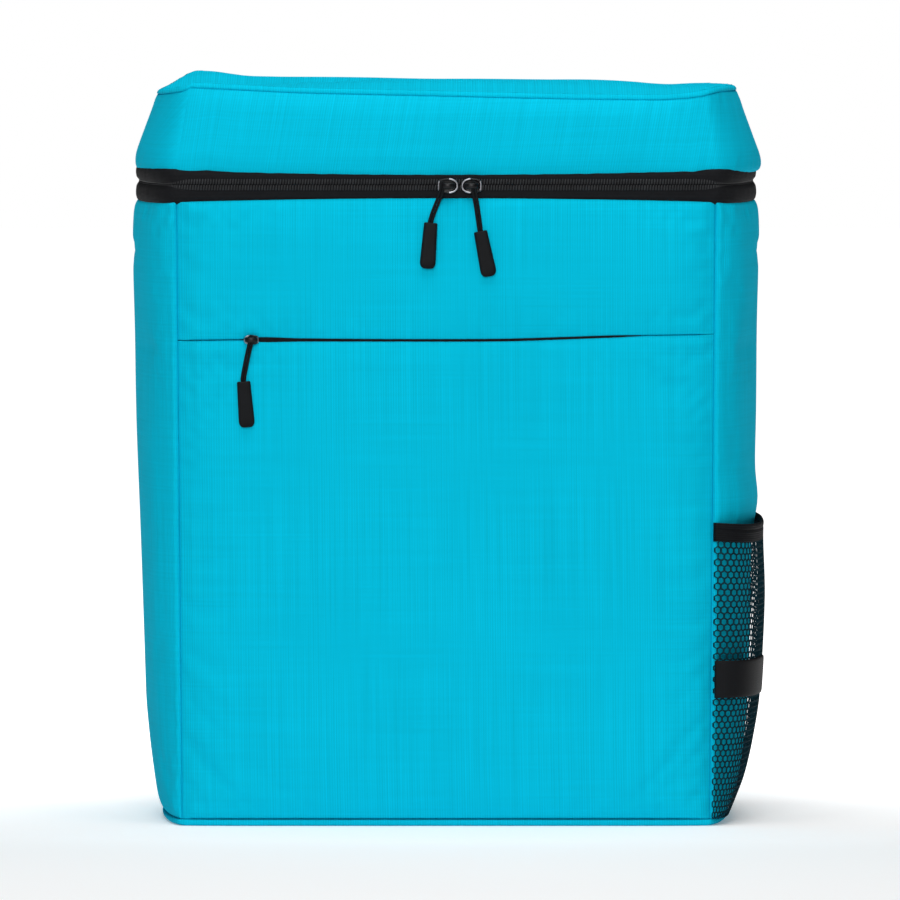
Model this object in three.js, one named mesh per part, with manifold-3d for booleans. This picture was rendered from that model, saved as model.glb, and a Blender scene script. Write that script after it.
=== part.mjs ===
// Cooler backpack with a zipped lid, a flat front pocket and a net side pocket.
// Millimetres, +Z up, front towards -Y, origin at the middle of the underside.

import * as THREE from "three";
import { mergeVertices } from "three/addons/utils/BufferGeometryUtils.js";
import Module from "manifold-3d";

const wasm = await Module();
wasm.setup();

// Padded body
const BODY_DEPTH = 165; // front seam to back seam
const FOOT_HALF_WIDTH = 134.5; // middle to the front seam, at the foot
const TOP_HALF_WIDTH = 137; // the same at the zip
const SIDE_BULGE = 25; // how far a side stands out beyond its seams
const SIDE_POWER = 2.2; // roundness of a side seen from above
const FRONT_CROWN = 5; // how far the stuffed front stands out beyond its seams
const FRONT_ROLL = 30; // width over which the front rolls into its seams
const WALL = 5; // foam and cloth together
const BASE_THICK = 4;
const BASE_ROUND = 3; // rounding of the base's lower edge
const SEAM_GAP = 0.3; // between pieces that are sewn together

// Main zip, round the left side, the front and the right side
const ZIP_LEVEL = 326; // height of the zip's middle
const ZIP_SHOWN = 15.5; // width of zip seen at the sides
const ZIP_PINCH = 2; // how far each cloth edge closes in at the middle of the front
const ZIP_RECESS = 2.6; // depth of the tape's face behind the cloth
const TAPE_THICK = 1.5;
const CHAIN_WIDTH = 7.4;
const CHAIN_PROUD = 0.3; // chain's face behind the cloth's
const SLIDER_LENGTH = 10.4;
const SLIDER_WIDTH = 8;
const SLIDER_THICK = 2.2;
const BAIL_RISE = 4.4; // outer height of the loop that holds the cord
const BAIL_THICK = 1;
const BAIL_WIDTH = 2.6;
const SLIDER_PAIR_X = 7; // middle of the two sliders
const SLIDER_SPACING = 12;

// Lid
const LID_RISE = 37.3; // lid's foot to its top seam, at the middle of the front
const LID_LIP = 0.4; // how far the lid's foot stands out beyond the body's top
const LID_SIDE_LEAN = 6; // how far the lid's seams lean in over its rise
const LID_BULGE_LOSS = 6.5; // how much flatter its sides get over its rise
const LID_FRONT_LEAN = 9; // how far the lid's front leans back over its rise
const LID_BACK_LEAN = 3;
const LID_EDGE_THICK = 2.5; // top panel at its seam
const LID_DOME = 2.5; // extra height of the top panel's middle
const LID_TOP_CROWN = 2.5; // front crown at the top seam

// Front pocket
const SLOT_BELOW_ZIP = 78; // the slot's left end below the zip's middle
const SLOT_RISE = 2.5; // how much higher its right end lies
const SLOT_LEFT_MARGIN = 32; // the slot's ends from the front's seams
const SLOT_RIGHT_MARGIN = 34;
const SLOT_OPEN = 3; // widest gape of the slot
const SLOT_TAPE_RECESS = 1.2;
const SLOT_TAPE_DEPTH = 2.2;
const POCKET_SLIDER_INSET = 6; // from the slot's left end
const POCKET_SLIDER_LENGTH = 7.6;
const POCKET_SLIDER_WIDTH = 5.2;

// Zip pulls: a doubled cord and a moulded end
const PULL_CORD_RADIUS = 1.15;
const PULL_END_LENGTH = 23.5;
const PULL_END_TOP_WIDTH = 6.8;
const PULL_END_FOOT_WIDTH = 8;
const PULL_END_THICK = 4.2;
const PULL_END_ROUND = 2.4;
const PULL_CLEARANCE = 0.4;
const LEFT_PULL = { cordDrop: 17.3, cordAside: -8.6, endAside: -1.8 };
const RIGHT_PULL = { cordDrop: 21.6, cordAside: 4.2, endAside: 4.6 };
const POCKET_PULL = { cordDrop: 19.7, cordAside: -4, endAside: 1.8 };

// Net pocket on the wearer's left
const NET_TOP = 143;
const NET_STAND = 7.4; // how far the net stands off the side at its fullest
const NET_POWER = 2.7; // roundness of the net seen from above, fuller than the side
const NET_THICK = 1.2;
const NET_CLEARANCE = 0.4;
const NET_PITCH = 19; // spacing of the coarse net's holes
const NET_STRAND = 3;
const NET_MARGIN = 3.5; // whole edge round the net
const ELASTIC_WIDTH = 9.6;
const ELASTIC_THICK = 1.4;
const ELASTIC_STAND = 6.2;
const ELASTIC_SAG = 2;
const LABEL_WIDTH = 19;
const LABEL_FOOT = 65.5;
const LABEL_THICK = 0.9;
const LABEL_TURN = 68; // degrees round the side at which the label ends

// Shoulder straps and grab handle, at the back
const STRAP_WIDTH = 58;
const STRAP_THICK = 11;
const STRAP_BELOW_LID = 42; // a strap's upper end below the lid's foot
const STRAP_DROP = 205; // height between a strap's two ends
const STRAP_REACH = 52; // how far a strap arches out
const STRAP_TOP_X = 50;
const STRAP_SPREAD = 38; // how far the lower end lies outside the upper end
const STRAP_END_SHARE = 0.6; // width of a strap's lower end
const ADJUSTER_WIDTH = 34;
const ADJUSTER_LENGTH = 24;
const ADJUSTER_THICK = 4;
const ADJUSTER_SLOT = 4.5;
const WEBBING_WIDTH = 25;
const WEBBING_THICK = 1.6;
const WEBBING_FOOT = 20;
const WEBBING_FOOT_INSET = 25; // from the back's side seam
const HANDLE_BELOW_LID = 18;
const HANDLE_HALF_LENGTH = 60;
const HANDLE_REACH = 26;
const HANDLE_THICK = 3;
const BACK_CLEARANCE = 0.3;

// Outline of the body by height, as shares of the body's height, side bulge and front crown
const BODY_ROWS = [
  { at: 0, side: 0.44, front: 0.25 },
  { at: 0.035, side: 0.56, front: 0.6 },
  { at: 0.07, side: 0.64, front: 0.8 },
  { at: 0.135, side: 0.73, front: 1 },
  { at: 0.2, side: 0.79, front: 1 },
  { at: 0.43, side: 0.85, front: 1 },
  { at: 0.75, side: 0.96, front: 1 },
  { at: 0.93, side: 1, front: 0.9 },
  { at: 1, side: 0.93, front: 0.6 },
];

// Net pocket's fullness by height, as shares of its top and of its stand
const NET_ROWS = [
  { at: 0, stand: 0.3 },
  { at: 0.08, stand: 0.32 },
  { at: 0.16, stand: 0.5 },
  { at: 0.3, stand: 0.75 },
  { at: 0.45, stand: 0.88 },
  { at: 0.78, stand: 1 },
  { at: 1, stand: 0.8 },
];

// Gape of the pocket's slot along its length, as shares of the slot's length and widest gape
const SLOT_ROWS = [
  { at: 0, open: 0.1 },
  { at: 0.06, open: 1 },
  { at: 0.4, open: 0.7 },
  { at: 0.8, open: 0.55 },
  { at: 1, open: 0.1 },
];

// Height of the lid's top seam above its lowest place, as shares of the lid's rise,
// at each side's start, middle and end, going round with the front from left to right
const LID_EDGE = {
  front: { start: 0.13, middle: 0, end: 0.11 },
  right: { start: 0.11, middle: 0.065, end: 0.065 },
  back: { start: 0.065, middle: 0.09, end: 0.2 },
  left: { start: 0.2, middle: 0.065, end: 0.13 },
};
const LID_EDGE_POWER = 3; // how locally the corners rise

// Route of a shoulder strap, as shares of its drop, reach and spread
const STRAP_ROWS = [
  { down: 0, out: 0, aside: 0, width: 1 },
  { down: 0.1, out: 0, aside: 0, width: 1 },
  { down: 0.22, out: 0.4, aside: 0.02, width: 1 },
  { down: 0.4, out: 0.88, aside: 0.12, width: 1 },
  { down: 0.6, out: 1, aside: 0.36, width: 1 },
  { down: 0.8, out: 0.86, aside: 0.7, width: 1 },
  { down: 0.93, out: 0.62, aside: 0.92, width: 0.86 },
  { down: 1, out: 0.45, aside: 1, width: STRAP_END_SHARE },
];

const KEY_SCALE = 1e4; // corners nearer than a part in this are one corner

const BODY_TOP = ZIP_LEVEL - ZIP_SHOWN / 2;
const LID_FOOT = ZIP_LEVEL + ZIP_SHOWN / 2;
const HALF_DEPTH = BODY_DEPTH / 2;
const PANEL_FOOT = BASE_THICK + SEAM_GAP;
const SLOT_START_X = SLOT_LEFT_MARGIN - TOP_HALF_WIDTH;
const SLOT_END_X = TOP_HALF_WIDTH - SLOT_RIGHT_MARGIN;
const SLOT_LEVEL = ZIP_LEVEL - SLOT_BELOW_ZIP;
const STRAP_TOP = LID_FOOT - STRAP_BELOW_LID;
const HANDLE_LEVEL = LID_FOOT - HANDLE_BELOW_LID;
const BACK_FACE = HALF_DEPTH + BACK_CLEARANCE;

const FINISHES = {
  cloth: { color: 0x05b4da, roughness: 0.82, metalness: 0 },
  tape: { color: 0x17181b, roughness: 0.85, metalness: 0 },
  rubber: { color: 0x1b1b1d, roughness: 0.55, metalness: 0 },
  net: { color: 0x1c1f24, roughness: 0.8, metalness: 0 },
  metal: { color: 0x4a4b50, roughness: 0.35, metalness: 0.9 },
  plastic: { color: 0x1a1b1d, roughness: 0.45, metalness: 0 },
};

const pack = new THREE.Group();

/** Adds one named piece in a finish. */
function addPiece(name, geometry, finish) {
  const mesh = new THREE.Mesh(geometry, new THREE.MeshStandardMaterial(FINISHES[finish]));
  mesh.name = name;
  pack.add(mesh);
}

/** A value between two others. */
function between(low, high, share) {
  return low + (high - low) * share;
}

/** Evenly spaced values from low to high. */
function steps(low, high, count) {
  return Array.from({ length: count + 1 }, (_, i) => between(low, high, i / count));
}

/** A smooth curve through one column of a table of rows, read at a share. */
function blend(rows, key, share, along = "at") {
  const at = Math.min(Math.max(share, rows[0][along]), rows[rows.length - 1][along]);
  const last = rows.length - 1;
  const i = Math.min(Math.max(rows.findIndex((row) => row[along] >= at), 1), last);
  const slope = (a, b) => (rows[b][key] - rows[a][key]) / (rows[b][along] - rows[a][along]);
  const here = slope(i - 1, i);
  const turn = (near, far) => (near * far <= 0 ? 0 : (2 * near * far) / (near + far));
  const from = i > 1 ? turn(slope(i - 2, i - 1), here) : here;
  const to = i < last ? turn(here, slope(i, i + 1)) : here;
  const span = rows[i][along] - rows[i - 1][along];
  const t = (at - rows[i - 1][along]) / span;
  const rise = rows[i][key] - rows[i - 1][key];
  const ease = t * t * (3 - 2 * t);
  return rows[i - 1][key] + rise * ease + span * (from * t * (1 - t) ** 2 - to * t * t * (1 - t));
}

/** A closed geometry from vertices and triangles, turned so that its faces point out. */
function solid(points, triangles) {
  let volume = 0;
  for (const [a, b, c] of triangles) {
    volume += points[a].dot(new THREE.Vector3().crossVectors(points[b], points[c]));
  }
  const facing = volume < 0 ? triangles.map(([a, b, c]) => [a, c, b]) : triangles;
  const geometry = new THREE.BufferGeometry();
  geometry.setAttribute(
    "position",
    new THREE.Float32BufferAttribute(points.flatMap((p) => p.toArray()), 3),
  );
  geometry.setIndex(facing.flat());
  return geometry;
}

/** A walled panel between an outer and an inner grid of points, closed round its rim. */
function shell(outer, inner, wraps = false) {
  const rows = outer.length;
  const columns = outer[0].length;
  const points = [...outer.flat(), ...inner.flat()];
  const index = (layer, row, column) => layer * rows * columns + row * columns + (column % columns);
  const triangles = [];
  const quad = (a, b, c, d) => triangles.push([a, b, c], [a, c, d]);
  const spans = wraps ? columns : columns - 1;
  for (let row = 0; row < rows - 1; row++) {
    for (let column = 0; column < spans; column++) {
      for (const layer of [0, 1]) {
        const corners = [
          index(layer, row, column),
          index(layer, row, column + 1),
          index(layer, row + 1, column + 1),
          index(layer, row + 1, column),
        ];
        quad(...(layer ? corners.reverse() : corners));
      }
    }
  }
  for (let column = 0; column < spans; column++) {
    for (const row of [0, rows - 1]) {
      const rim = [
        index(0, row, column + 1),
        index(0, row, column),
        index(1, row, column),
        index(1, row, column + 1),
      ];
      quad(...(row ? rim.reverse() : rim));
    }
  }
  for (let row = 0; row < rows - 1 && !wraps; row++) {
    for (const column of [0, columns - 1]) {
      const rim = [
        index(0, row, column),
        index(0, row + 1, column),
        index(1, row + 1, column),
        index(1, row, column),
      ];
      quad(...(column ? rim.reverse() : rim));
    }
  }
  return solid(points, triangles);
}

/** A closed body through loops of equal length, with a fan over the first and the last. */
function loft(loops) {
  const count = loops[0].length;
  const points = loops.flat();
  const triangles = [];
  for (let ring = 0; ring < loops.length - 1; ring++) {
    for (let i = 0; i < count; i++) {
      const next = (i + 1) % count;
      const [a, b] = [ring * count + i, ring * count + next];
      triangles.push([a, b, b + count], [a, b + count, a + count]);
    }
  }
  for (const ring of [0, loops.length - 1]) {
    const middle = new THREE.Vector3();
    loops[ring].forEach((p) => middle.addScaledVector(p, 1 / count));
    points.push(middle);
    for (let i = 0; i < count; i++) {
      const fan = [ring * count + i, points.length - 1, ring * count + ((i + 1) % count)];
      triangles.push(ring ? fan.reverse() : fan);
    }
  }
  return solid(points, triangles);
}

/** A manifold solid from a closed three.js geometry. */
function toManifold(geometry) {
  const bare = geometry.clone();
  bare.deleteAttribute("normal");
  bare.deleteAttribute("uv");
  const merged = mergeVertices(bare, 1e-4);
  const mesh = new wasm.Mesh({
    numProp: 3,
    vertProperties: new Float32Array(merged.attributes.position.array),
    triVerts: new Uint32Array(merged.index.array),
  });
  return new wasm.Manifold(mesh);
}

/** A three.js geometry from a manifold solid. */
function fromManifold(body) {
  const mesh = body.getMesh();
  const geometry = new THREE.BufferGeometry();
  geometry.setAttribute("position", new THREE.BufferAttribute(mesh.vertProperties, 3));
  geometry.setIndex(new THREE.BufferAttribute(mesh.triVerts, 1));
  return geometry;
}

/** The body's plan at a height. */
function bodyPlan(level) {
  const at = level / BODY_TOP;
  return {
    halfWidth: between(FOOT_HALF_WIDTH, TOP_HALF_WIDTH, Math.min(at, 1)),
    halfDepth: HALF_DEPTH,
    bulge: SIDE_BULGE * blend(BODY_ROWS, "side", at),
    crown: FRONT_CROWN * blend(BODY_ROWS, "front", at),
    shift: 0,
    power: SIDE_POWER,
  };
}

/** The lid's plan at a height. */
function lidPlan(level) {
  const at = (level - LID_FOOT) / LID_RISE;
  const top = bodyPlan(BODY_TOP);
  return {
    halfWidth: top.halfWidth - LID_SIDE_LEAN * at,
    halfDepth: HALF_DEPTH - ((LID_FRONT_LEAN + LID_BACK_LEAN) / 2) * at,
    bulge: top.bulge + LID_LIP - LID_BULGE_LOSS * at,
    crown: between(top.crown, LID_TOP_CROWN, at),
    shift: ((LID_FRONT_LEAN - LID_BACK_LEAN) / 2) * at,
    power: SIDE_POWER,
  };
}

/** A point of a plan's edge, at -1 to 1 along a side, going round from the front's left. */
function edgePoint(plan, side, along, inset) {
  const halfWidth = plan.halfWidth - inset;
  const halfDepth = plan.halfDepth - inset;
  if (side === "front") {
    const fromSeam = Math.min((halfWidth * (1 - Math.abs(along))) / FRONT_ROLL, 1);
    return [halfWidth * along, plan.shift - halfDepth - plan.crown * (1 - (1 - fromSeam) ** 2)];
  }
  if (side === "back") {
    return [-halfWidth * along, plan.shift + halfDepth];
  }
  const turn = (Math.PI * (along + 1)) / 2;
  const forward = Math.cos(turn);
  const x = halfWidth + plan.bulge * Math.max(Math.sin(turn), 0) ** (2 / plan.power);
  const y = -halfDepth * Math.sign(forward) * Math.abs(forward) ** (2 / plan.power);
  return side === "right" ? [x, plan.shift + y] : [-x, plan.shift - y];
}

/** The front cloth's face at a place on the body. */
function frontFace(x, level) {
  const plan = bodyPlan(level);
  return edgePoint(plan, "front", x / plan.halfWidth, 0)[1];
}

/** How far a cloth edge closes in over the zip. */
function pinch(side, along) {
  return side === "front" ? ZIP_PINCH * (1 - along * along) : 0;
}

/** Height of the lid's top seam. */
function lidSeam(side, along) {
  const { start, middle, end } = LID_EDGE[side];
  const chord = between(start, end, (along + 1) / 2);
  const local = Math.abs(along) ** LID_EDGE_POWER;
  return LID_FOOT + LID_RISE * (1 + chord * local + middle * (1 - local));
}

/** A sewn body panel between two heights, which may change along it. */
function bodyPanel(side, columns, rows, lowAt, highAt) {
  const grid = (inset) =>
    rows.map((share) =>
      columns.map((along) => {
        const level = between(lowAt(along), highAt(along), share);
        const plan = bodyPlan(level);
        const [x, y] = edgePoint(plan, side, along, inset);
        const flat = side === "front" || side === "back";
        const width = plan.halfWidth - inset;
        const depth = plan.halfDepth - inset;
        const trimX = flat ? (width - SEAM_GAP / 2) / width : 1;
        const trimY = flat ? 1 : (depth - SEAM_GAP / 2) / depth;
        return new THREE.Vector3(x * trimX, y * trimY, level);
      }),
    );
  return shell(grid(0), grid(WALL));
}

const FRONT_COLUMNS = [-1, -0.96, -0.9, -0.8, -0.55, -0.25, 0, 0.25, 0.55, 0.8, 0.9, 0.96, 1];
const SIDE_COLUMNS = [-1, -0.93, -0.82, -0.66, -0.46, -0.24, 0, 0.24, 0.46, 0.66, 0.82, 0.93, 1];
const SIDE_ROWS = [0, 0.03, 0.07, 0.13, 0.22, 0.4, 0.6, 0.8, 0.92, 1];
const POCKET_ROWS = [0, 0.04, 0.09, 0.17, 0.35, 0.6, 0.85, 1];
const BACK_COLUMNS = steps(-1, 1, 6);
const BACK_ROWS = steps(0, 1, 5);

// Front: the pocket below the slot and the plain panel above it
const slotShare = (x) => (x - SLOT_START_X) / (SLOT_END_X - SLOT_START_X);
const slotLevel = (x) => SLOT_LEVEL + SLOT_RISE * slotShare(x);
const slotOpen = (x) => Math.max(SLOT_OPEN * blend(SLOT_ROWS, "open", slotShare(x)), SEAM_GAP);
const slotEdge = (sense) => (along) => {
  const x = along * TOP_HALF_WIDTH;
  return slotLevel(x) + (sense * slotOpen(x)) / 2;
};
const slotColumns = steps(SLOT_START_X, SLOT_END_X, 8).map((x) => x / TOP_HALF_WIDTH);
const frontColumns = [
  ...FRONT_COLUMNS.filter((along) => along < slotColumns[0]),
  ...slotColumns,
  ...FRONT_COLUMNS.filter((along) => along > slotColumns[slotColumns.length - 1]),
];
const panelFoot = () => PANEL_FOOT;
const bodyTop = (side) => (along) => BODY_TOP + pinch(side, along);
addPiece("front_pocket", bodyPanel("front", frontColumns, POCKET_ROWS, panelFoot, slotEdge(-1)), "cloth");
addPiece(
  "front_panel",
  bodyPanel("front", frontColumns, [0, 0.35, 0.7, 0.9, 1], slotEdge(1), bodyTop("front")),
  "cloth",
);

// Sides and back
for (const side of ["left", "right"]) {
  const panel = bodyPanel(side, SIDE_COLUMNS, SIDE_ROWS, panelFoot, bodyTop(side));
  addPiece(`${side}_side_panel`, panel, "cloth");
}
const backTop = () => LID_FOOT - SEAM_GAP;
addPiece("back_panel", bodyPanel("back", BACK_COLUMNS, BACK_ROWS, panelFoot, backTop), "cloth");

/** The stations of a whole loop round the bag, as sides and places along them. */
function loopStations(frontPlaces, sidePlaces, backPlaces) {
  const runs = { front: frontPlaces, right: sidePlaces, back: backPlaces, left: sidePlaces };
  return Object.entries(runs).flatMap(([side, places]) =>
    places.slice(0, -1).map((along) => ({ side, along })),
  );
}

const LOOP = loopStations(FRONT_COLUMNS, SIDE_COLUMNS, BACK_COLUMNS);

/** A loop of points of a plan at one height. */
function planLoop(plan, level, inset) {
  return LOOP.map(({ side, along }) => new THREE.Vector3(...edgePoint(plan, side, along, inset), level));
}

// Base: a padded plate with a rounded lower edge
const basePlan = bodyPlan(BASE_THICK);
addPiece(
  "base_panel",
  loft([
    planLoop(basePlan, 0, BASE_ROUND),
    planLoop(basePlan, BASE_ROUND * 0.3, BASE_ROUND * 0.3),
    planLoop(basePlan, BASE_ROUND, 0),
    planLoop(basePlan, BASE_THICK, 0),
  ]),
  "cloth",
);

// Lid band: one strip all round, leaning in to the top seam
const bandGrid = (inset) =>
  [0, 0.12, 0.5, 0.85, 1].map((share) =>
    LOOP.map(({ side, along }) => {
      const foot = LID_FOOT - pinch(side, along);
      const level = between(foot, lidSeam(side, along) - SEAM_GAP, share);
      return new THREE.Vector3(...edgePoint(lidPlan(level), side, along, inset), level);
    }),
  );
addPiece("lid_band", shell(bandGrid(0), bandGrid(WALL), true), "cloth");

// Lid top: a padded plate, domed in the middle and thinner at its seam
const lidLoop = (spread, lift, inset) =>
  LOOP.map(({ side, along }) => {
    const seam = lidSeam(side, along);
    const [x, y] = edgePoint(lidPlan(seam), side, along, inset);
    const flatSeam = LID_FOOT + LID_RISE * (1 + LID_EDGE.back.middle / 2);
    return new THREE.Vector3(x * spread, y * spread, between(flatSeam, seam, spread ** 2) + lift);
  });
const dome = (spread) => (LID_DOME + WALL - LID_EDGE_THICK) * (1 - spread ** 2) + LID_EDGE_THICK;
addPiece(
  "lid_top",
  loft([
    lidLoop(0.3, LID_DOME * (1 - 0.3 ** 2), 0),
    lidLoop(0.75, LID_DOME * (1 - 0.75 ** 2), 0),
    lidLoop(1, 0, WALL * 1.2),
    lidLoop(1, 0, 0),
    lidLoop(1, LID_EDGE_THICK * 0.7, 0),
    lidLoop(1, LID_EDGE_THICK, LID_EDGE_THICK * 0.6),
    lidLoop(0.85, dome(0.85), 0),
    lidLoop(0.6, dome(0.6), 0),
    lidLoop(0.3, dome(0.3), 0),
  ]),
  "cloth",
);

// Main zip: two tapes edge to edge behind the coil chain
const zipStations = [
  ...SIDE_COLUMNS.map((along) => ({ side: "left", along })),
  ...FRONT_COLUMNS.slice(1, -1).map((along) => ({ side: "front", along })),
  ...SIDE_COLUMNS.map((along) => ({ side: "right", along })),
];
const zipPlan = bodyPlan(BODY_TOP);
const zipStrip = (lowAt, highAt, outerInset, innerInset) => {
  const grid = (inset) =>
    [lowAt, highAt].map((levelAt) =>
      zipStations.map(({ side, along }) => {
        const [x, y] = edgePoint(zipPlan, side, along, inset);
        const depth = HALF_DEPTH - inset;
        const trim = side === "front" ? 1 : (depth - SEAM_GAP) / depth;
        return new THREE.Vector3(x, y * trim, levelAt(side, along));
      }),
    );
  return shell(grid(outerInset), grid(innerInset));
};
const tapeFoot = (side, along) => BODY_TOP + pinch(side, along) + SEAM_GAP;
const tapeHead = (side, along) => LID_FOOT - pinch(side, along) - SEAM_GAP;
const chainEdge = (sense) => () => ZIP_LEVEL + (sense * CHAIN_WIDTH) / 2;
const tapeMeets = (sense) => () => ZIP_LEVEL + (sense * SEAM_GAP) / 2;
const tapeBack = ZIP_RECESS + TAPE_THICK;
addPiece("zip_tape_lower", zipStrip(tapeFoot, tapeMeets(-1), ZIP_RECESS, tapeBack), "tape");
addPiece("zip_tape_upper", zipStrip(tapeMeets(1), tapeHead, ZIP_RECESS, tapeBack), "tape");
addPiece(
  "zip_chain",
  zipStrip(chainEdge(-1), chainEdge(1), CHAIN_PROUD, ZIP_RECESS - SEAM_GAP),
  "tape",
);

// Pocket zip: the closed coil, just inside the slot
const slotTapeGrid = (inset) =>
  [-1, 1].map((sense) =>
    slotColumns.slice(1, -1).map((along) => {
      const level = slotEdge(sense)(along) - sense * SEAM_GAP;
      return new THREE.Vector3(...edgePoint(bodyPlan(level), "front", along, inset), level);
    }),
  );
addPiece(
  "pocket_zip_tape",
  shell(slotTapeGrid(SLOT_TAPE_RECESS), slotTapeGrid(SLOT_TAPE_RECESS + SLOT_TAPE_DEPTH)),
  "tape",
);

/** A slider: a plate with a round nose and a loop for the pull's cord, built facing -Y. */
function sliderGeometry(length, width, noseSense) {
  const outline = new THREE.Shape();
  const straight = length - width / 2;
  outline.moveTo(-length / 2, -width * 0.36);
  outline.lineTo(-length / 2 + straight, -width / 2);
  outline.absarc(-length / 2 + straight, 0, width / 2, -Math.PI / 2, Math.PI / 2, false);
  outline.lineTo(-length / 2, width * 0.36);
  const plate = new THREE.ExtrudeGeometry(outline, {
    depth: SLIDER_THICK,
    bevelEnabled: false,
    curveSegments: 6,
  });
  plate.rotateX(Math.PI / 2);
  const arch = new THREE.Shape();
  arch.absarc(0, 0, BAIL_RISE, 0, Math.PI, false);
  arch.absarc(0, 0, BAIL_RISE - BAIL_THICK, Math.PI, 0, true);
  const bail = new THREE.ExtrudeGeometry(arch, {
    depth: BAIL_WIDTH,
    bevelEnabled: false,
    curveSegments: 7,
  });
  bail.rotateX(Math.PI);
  bail.translate(0, -SLIDER_THICK + BAIL_THICK / 2, BAIL_WIDTH / 2);
  const body = fromManifold(toManifold(plate).add(toManifold(bail)));
  if (noseSense < 0) {
    body.rotateY(Math.PI);
  }
  return body;
}

/** A moulded pull end hanging from the origin down -Z, flat on the XZ plane. */
function pullEndGeometry() {
  const top = PULL_END_TOP_WIDTH / 2;
  const foot = PULL_END_FOOT_WIDTH / 2;
  const round = PULL_END_ROUND;
  const outline = new THREE.Shape();
  outline.moveTo(-top + round / 2, 0);
  outline.lineTo(top - round / 2, 0);
  outline.lineTo(top, -round / 2);
  outline.lineTo(foot, -PULL_END_LENGTH + round);
  outline.quadraticCurveTo(foot, -PULL_END_LENGTH, foot - round, -PULL_END_LENGTH);
  outline.lineTo(-foot + round, -PULL_END_LENGTH);
  outline.quadraticCurveTo(-foot, -PULL_END_LENGTH, -foot, -PULL_END_LENGTH + round);
  outline.lineTo(-top, -round / 2);
  const body = new THREE.ExtrudeGeometry(outline, {
    depth: PULL_END_THICK,
    bevelEnabled: false,
    curveSegments: 3,
  });
  body.rotateX(Math.PI / 2);
  body.translate(0, PULL_END_THICK / 2, 0);
  return body;
}

/** One pull: the slider, its cord and its moulded end, hanging in front of the cloth. */
function addPull(names, slider, pull) {
  const sliderMesh = sliderGeometry(slider.length, slider.width, slider.nose);
  sliderMesh.translate(slider.x, slider.face, slider.level);
  addPiece(names.slider, sliderMesh, "metal");

  const hang = PULL_END_THICK / 2 + PULL_CLEARANCE;
  const footX = slider.x + pull.cordAside;
  const footLevel = slider.level - pull.cordDrop;
  const endFace = (level) => frontFace(footX, level) - hang;
  const eye = slider.face - SLIDER_THICK - (BAIL_RISE - BAIL_THICK * 1.5) / 2;
  const foot = new THREE.Vector3(footX, endFace(footLevel), footLevel);
  const head = new THREE.Vector3(slider.x, eye, slider.level + BAIL_WIDTH);
  const below = new THREE.Vector3(slider.x, eye, slider.level - slider.width * 0.7);
  const route = new THREE.CatmullRomCurve3([head, below, foot]);
  const round = new THREE.Shape();
  round.absarc(0, 0, PULL_CORD_RADIUS, 0, 2 * Math.PI, false);
  const cord = new THREE.ExtrudeGeometry(round, {
    steps: 8,
    bevelEnabled: false,
    extrudePath: route,
    curveSegments: 4,
  });
  addPiece(names.cord, cord, "tape");

  const end = pullEndGeometry();
  const lean = Math.asin(pull.endAside / PULL_END_LENGTH);
  const drop = PULL_END_LENGTH * Math.cos(lean);
  const tuck = endFace(footLevel - drop) - endFace(footLevel);
  end.rotateX(Math.asin(tuck / PULL_END_LENGTH));
  end.rotateY(-lean);
  end.translate(foot.x, foot.y, foot.z - SEAM_GAP - PULL_CORD_RADIUS);
  addPiece(names.end, end, "rubber");
}

const zipFace = edgePoint(zipPlan, "front", 0, CHAIN_PROUD)[1] - SEAM_GAP;
const mainSlider = { length: SLIDER_LENGTH, width: SLIDER_WIDTH, face: zipFace, level: ZIP_LEVEL };
addPull(
  { slider: "zip_slider_left", cord: "pull_cord_left", end: "pull_end_left" },
  { ...mainSlider, x: SLIDER_PAIR_X - SLIDER_SPACING / 2, nose: 1 },
  LEFT_PULL,
);
addPull(
  { slider: "zip_slider_right", cord: "pull_cord_right", end: "pull_end_right" },
  { ...mainSlider, x: SLIDER_PAIR_X + SLIDER_SPACING / 2, nose: -1 },
  RIGHT_PULL,
);
const pocketSliderX = SLOT_START_X + POCKET_SLIDER_INSET;
const pocketSliderLevel = slotLevel(pocketSliderX);
addPull(
  { slider: "pocket_slider", cord: "pocket_pull_cord", end: "pocket_pull_end" },
  {
    length: POCKET_SLIDER_LENGTH,
    width: POCKET_SLIDER_WIDTH,
    face: frontFace(pocketSliderX, pocketSliderLevel) - SEAM_GAP,
    level: pocketSliderLevel,
    x: pocketSliderX,
    nose: -1,
  },
  POCKET_PULL,
);

/** A point of the right side at a height and a place along it, standing off the cloth. */
function sidePoint(along, level, stand, offset) {
  const plan = bodyPlan(level);
  const full = { ...plan, bulge: plan.bulge + stand, power: NET_POWER };
  return new THREE.Vector3(...edgePoint(full, "right", along, -offset), level);
}

const netStand = (level) => NET_STAND * blend(NET_ROWS, "stand", level / NET_TOP);

/** Places along the side and their distance from the front seam, at the net's middle height. */
const netRuler = (() => {
  const level = NET_TOP / 2;
  const places = steps(-1, 1, 60);
  const points = places.map((along) => sidePoint(along, level, netStand(level), 0));
  let run = 0;
  return places.map((along, i) => {
    run += i ? points[i].distanceTo(points[i - 1]) : 0;
    return { run, along };
  });
})();

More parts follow.
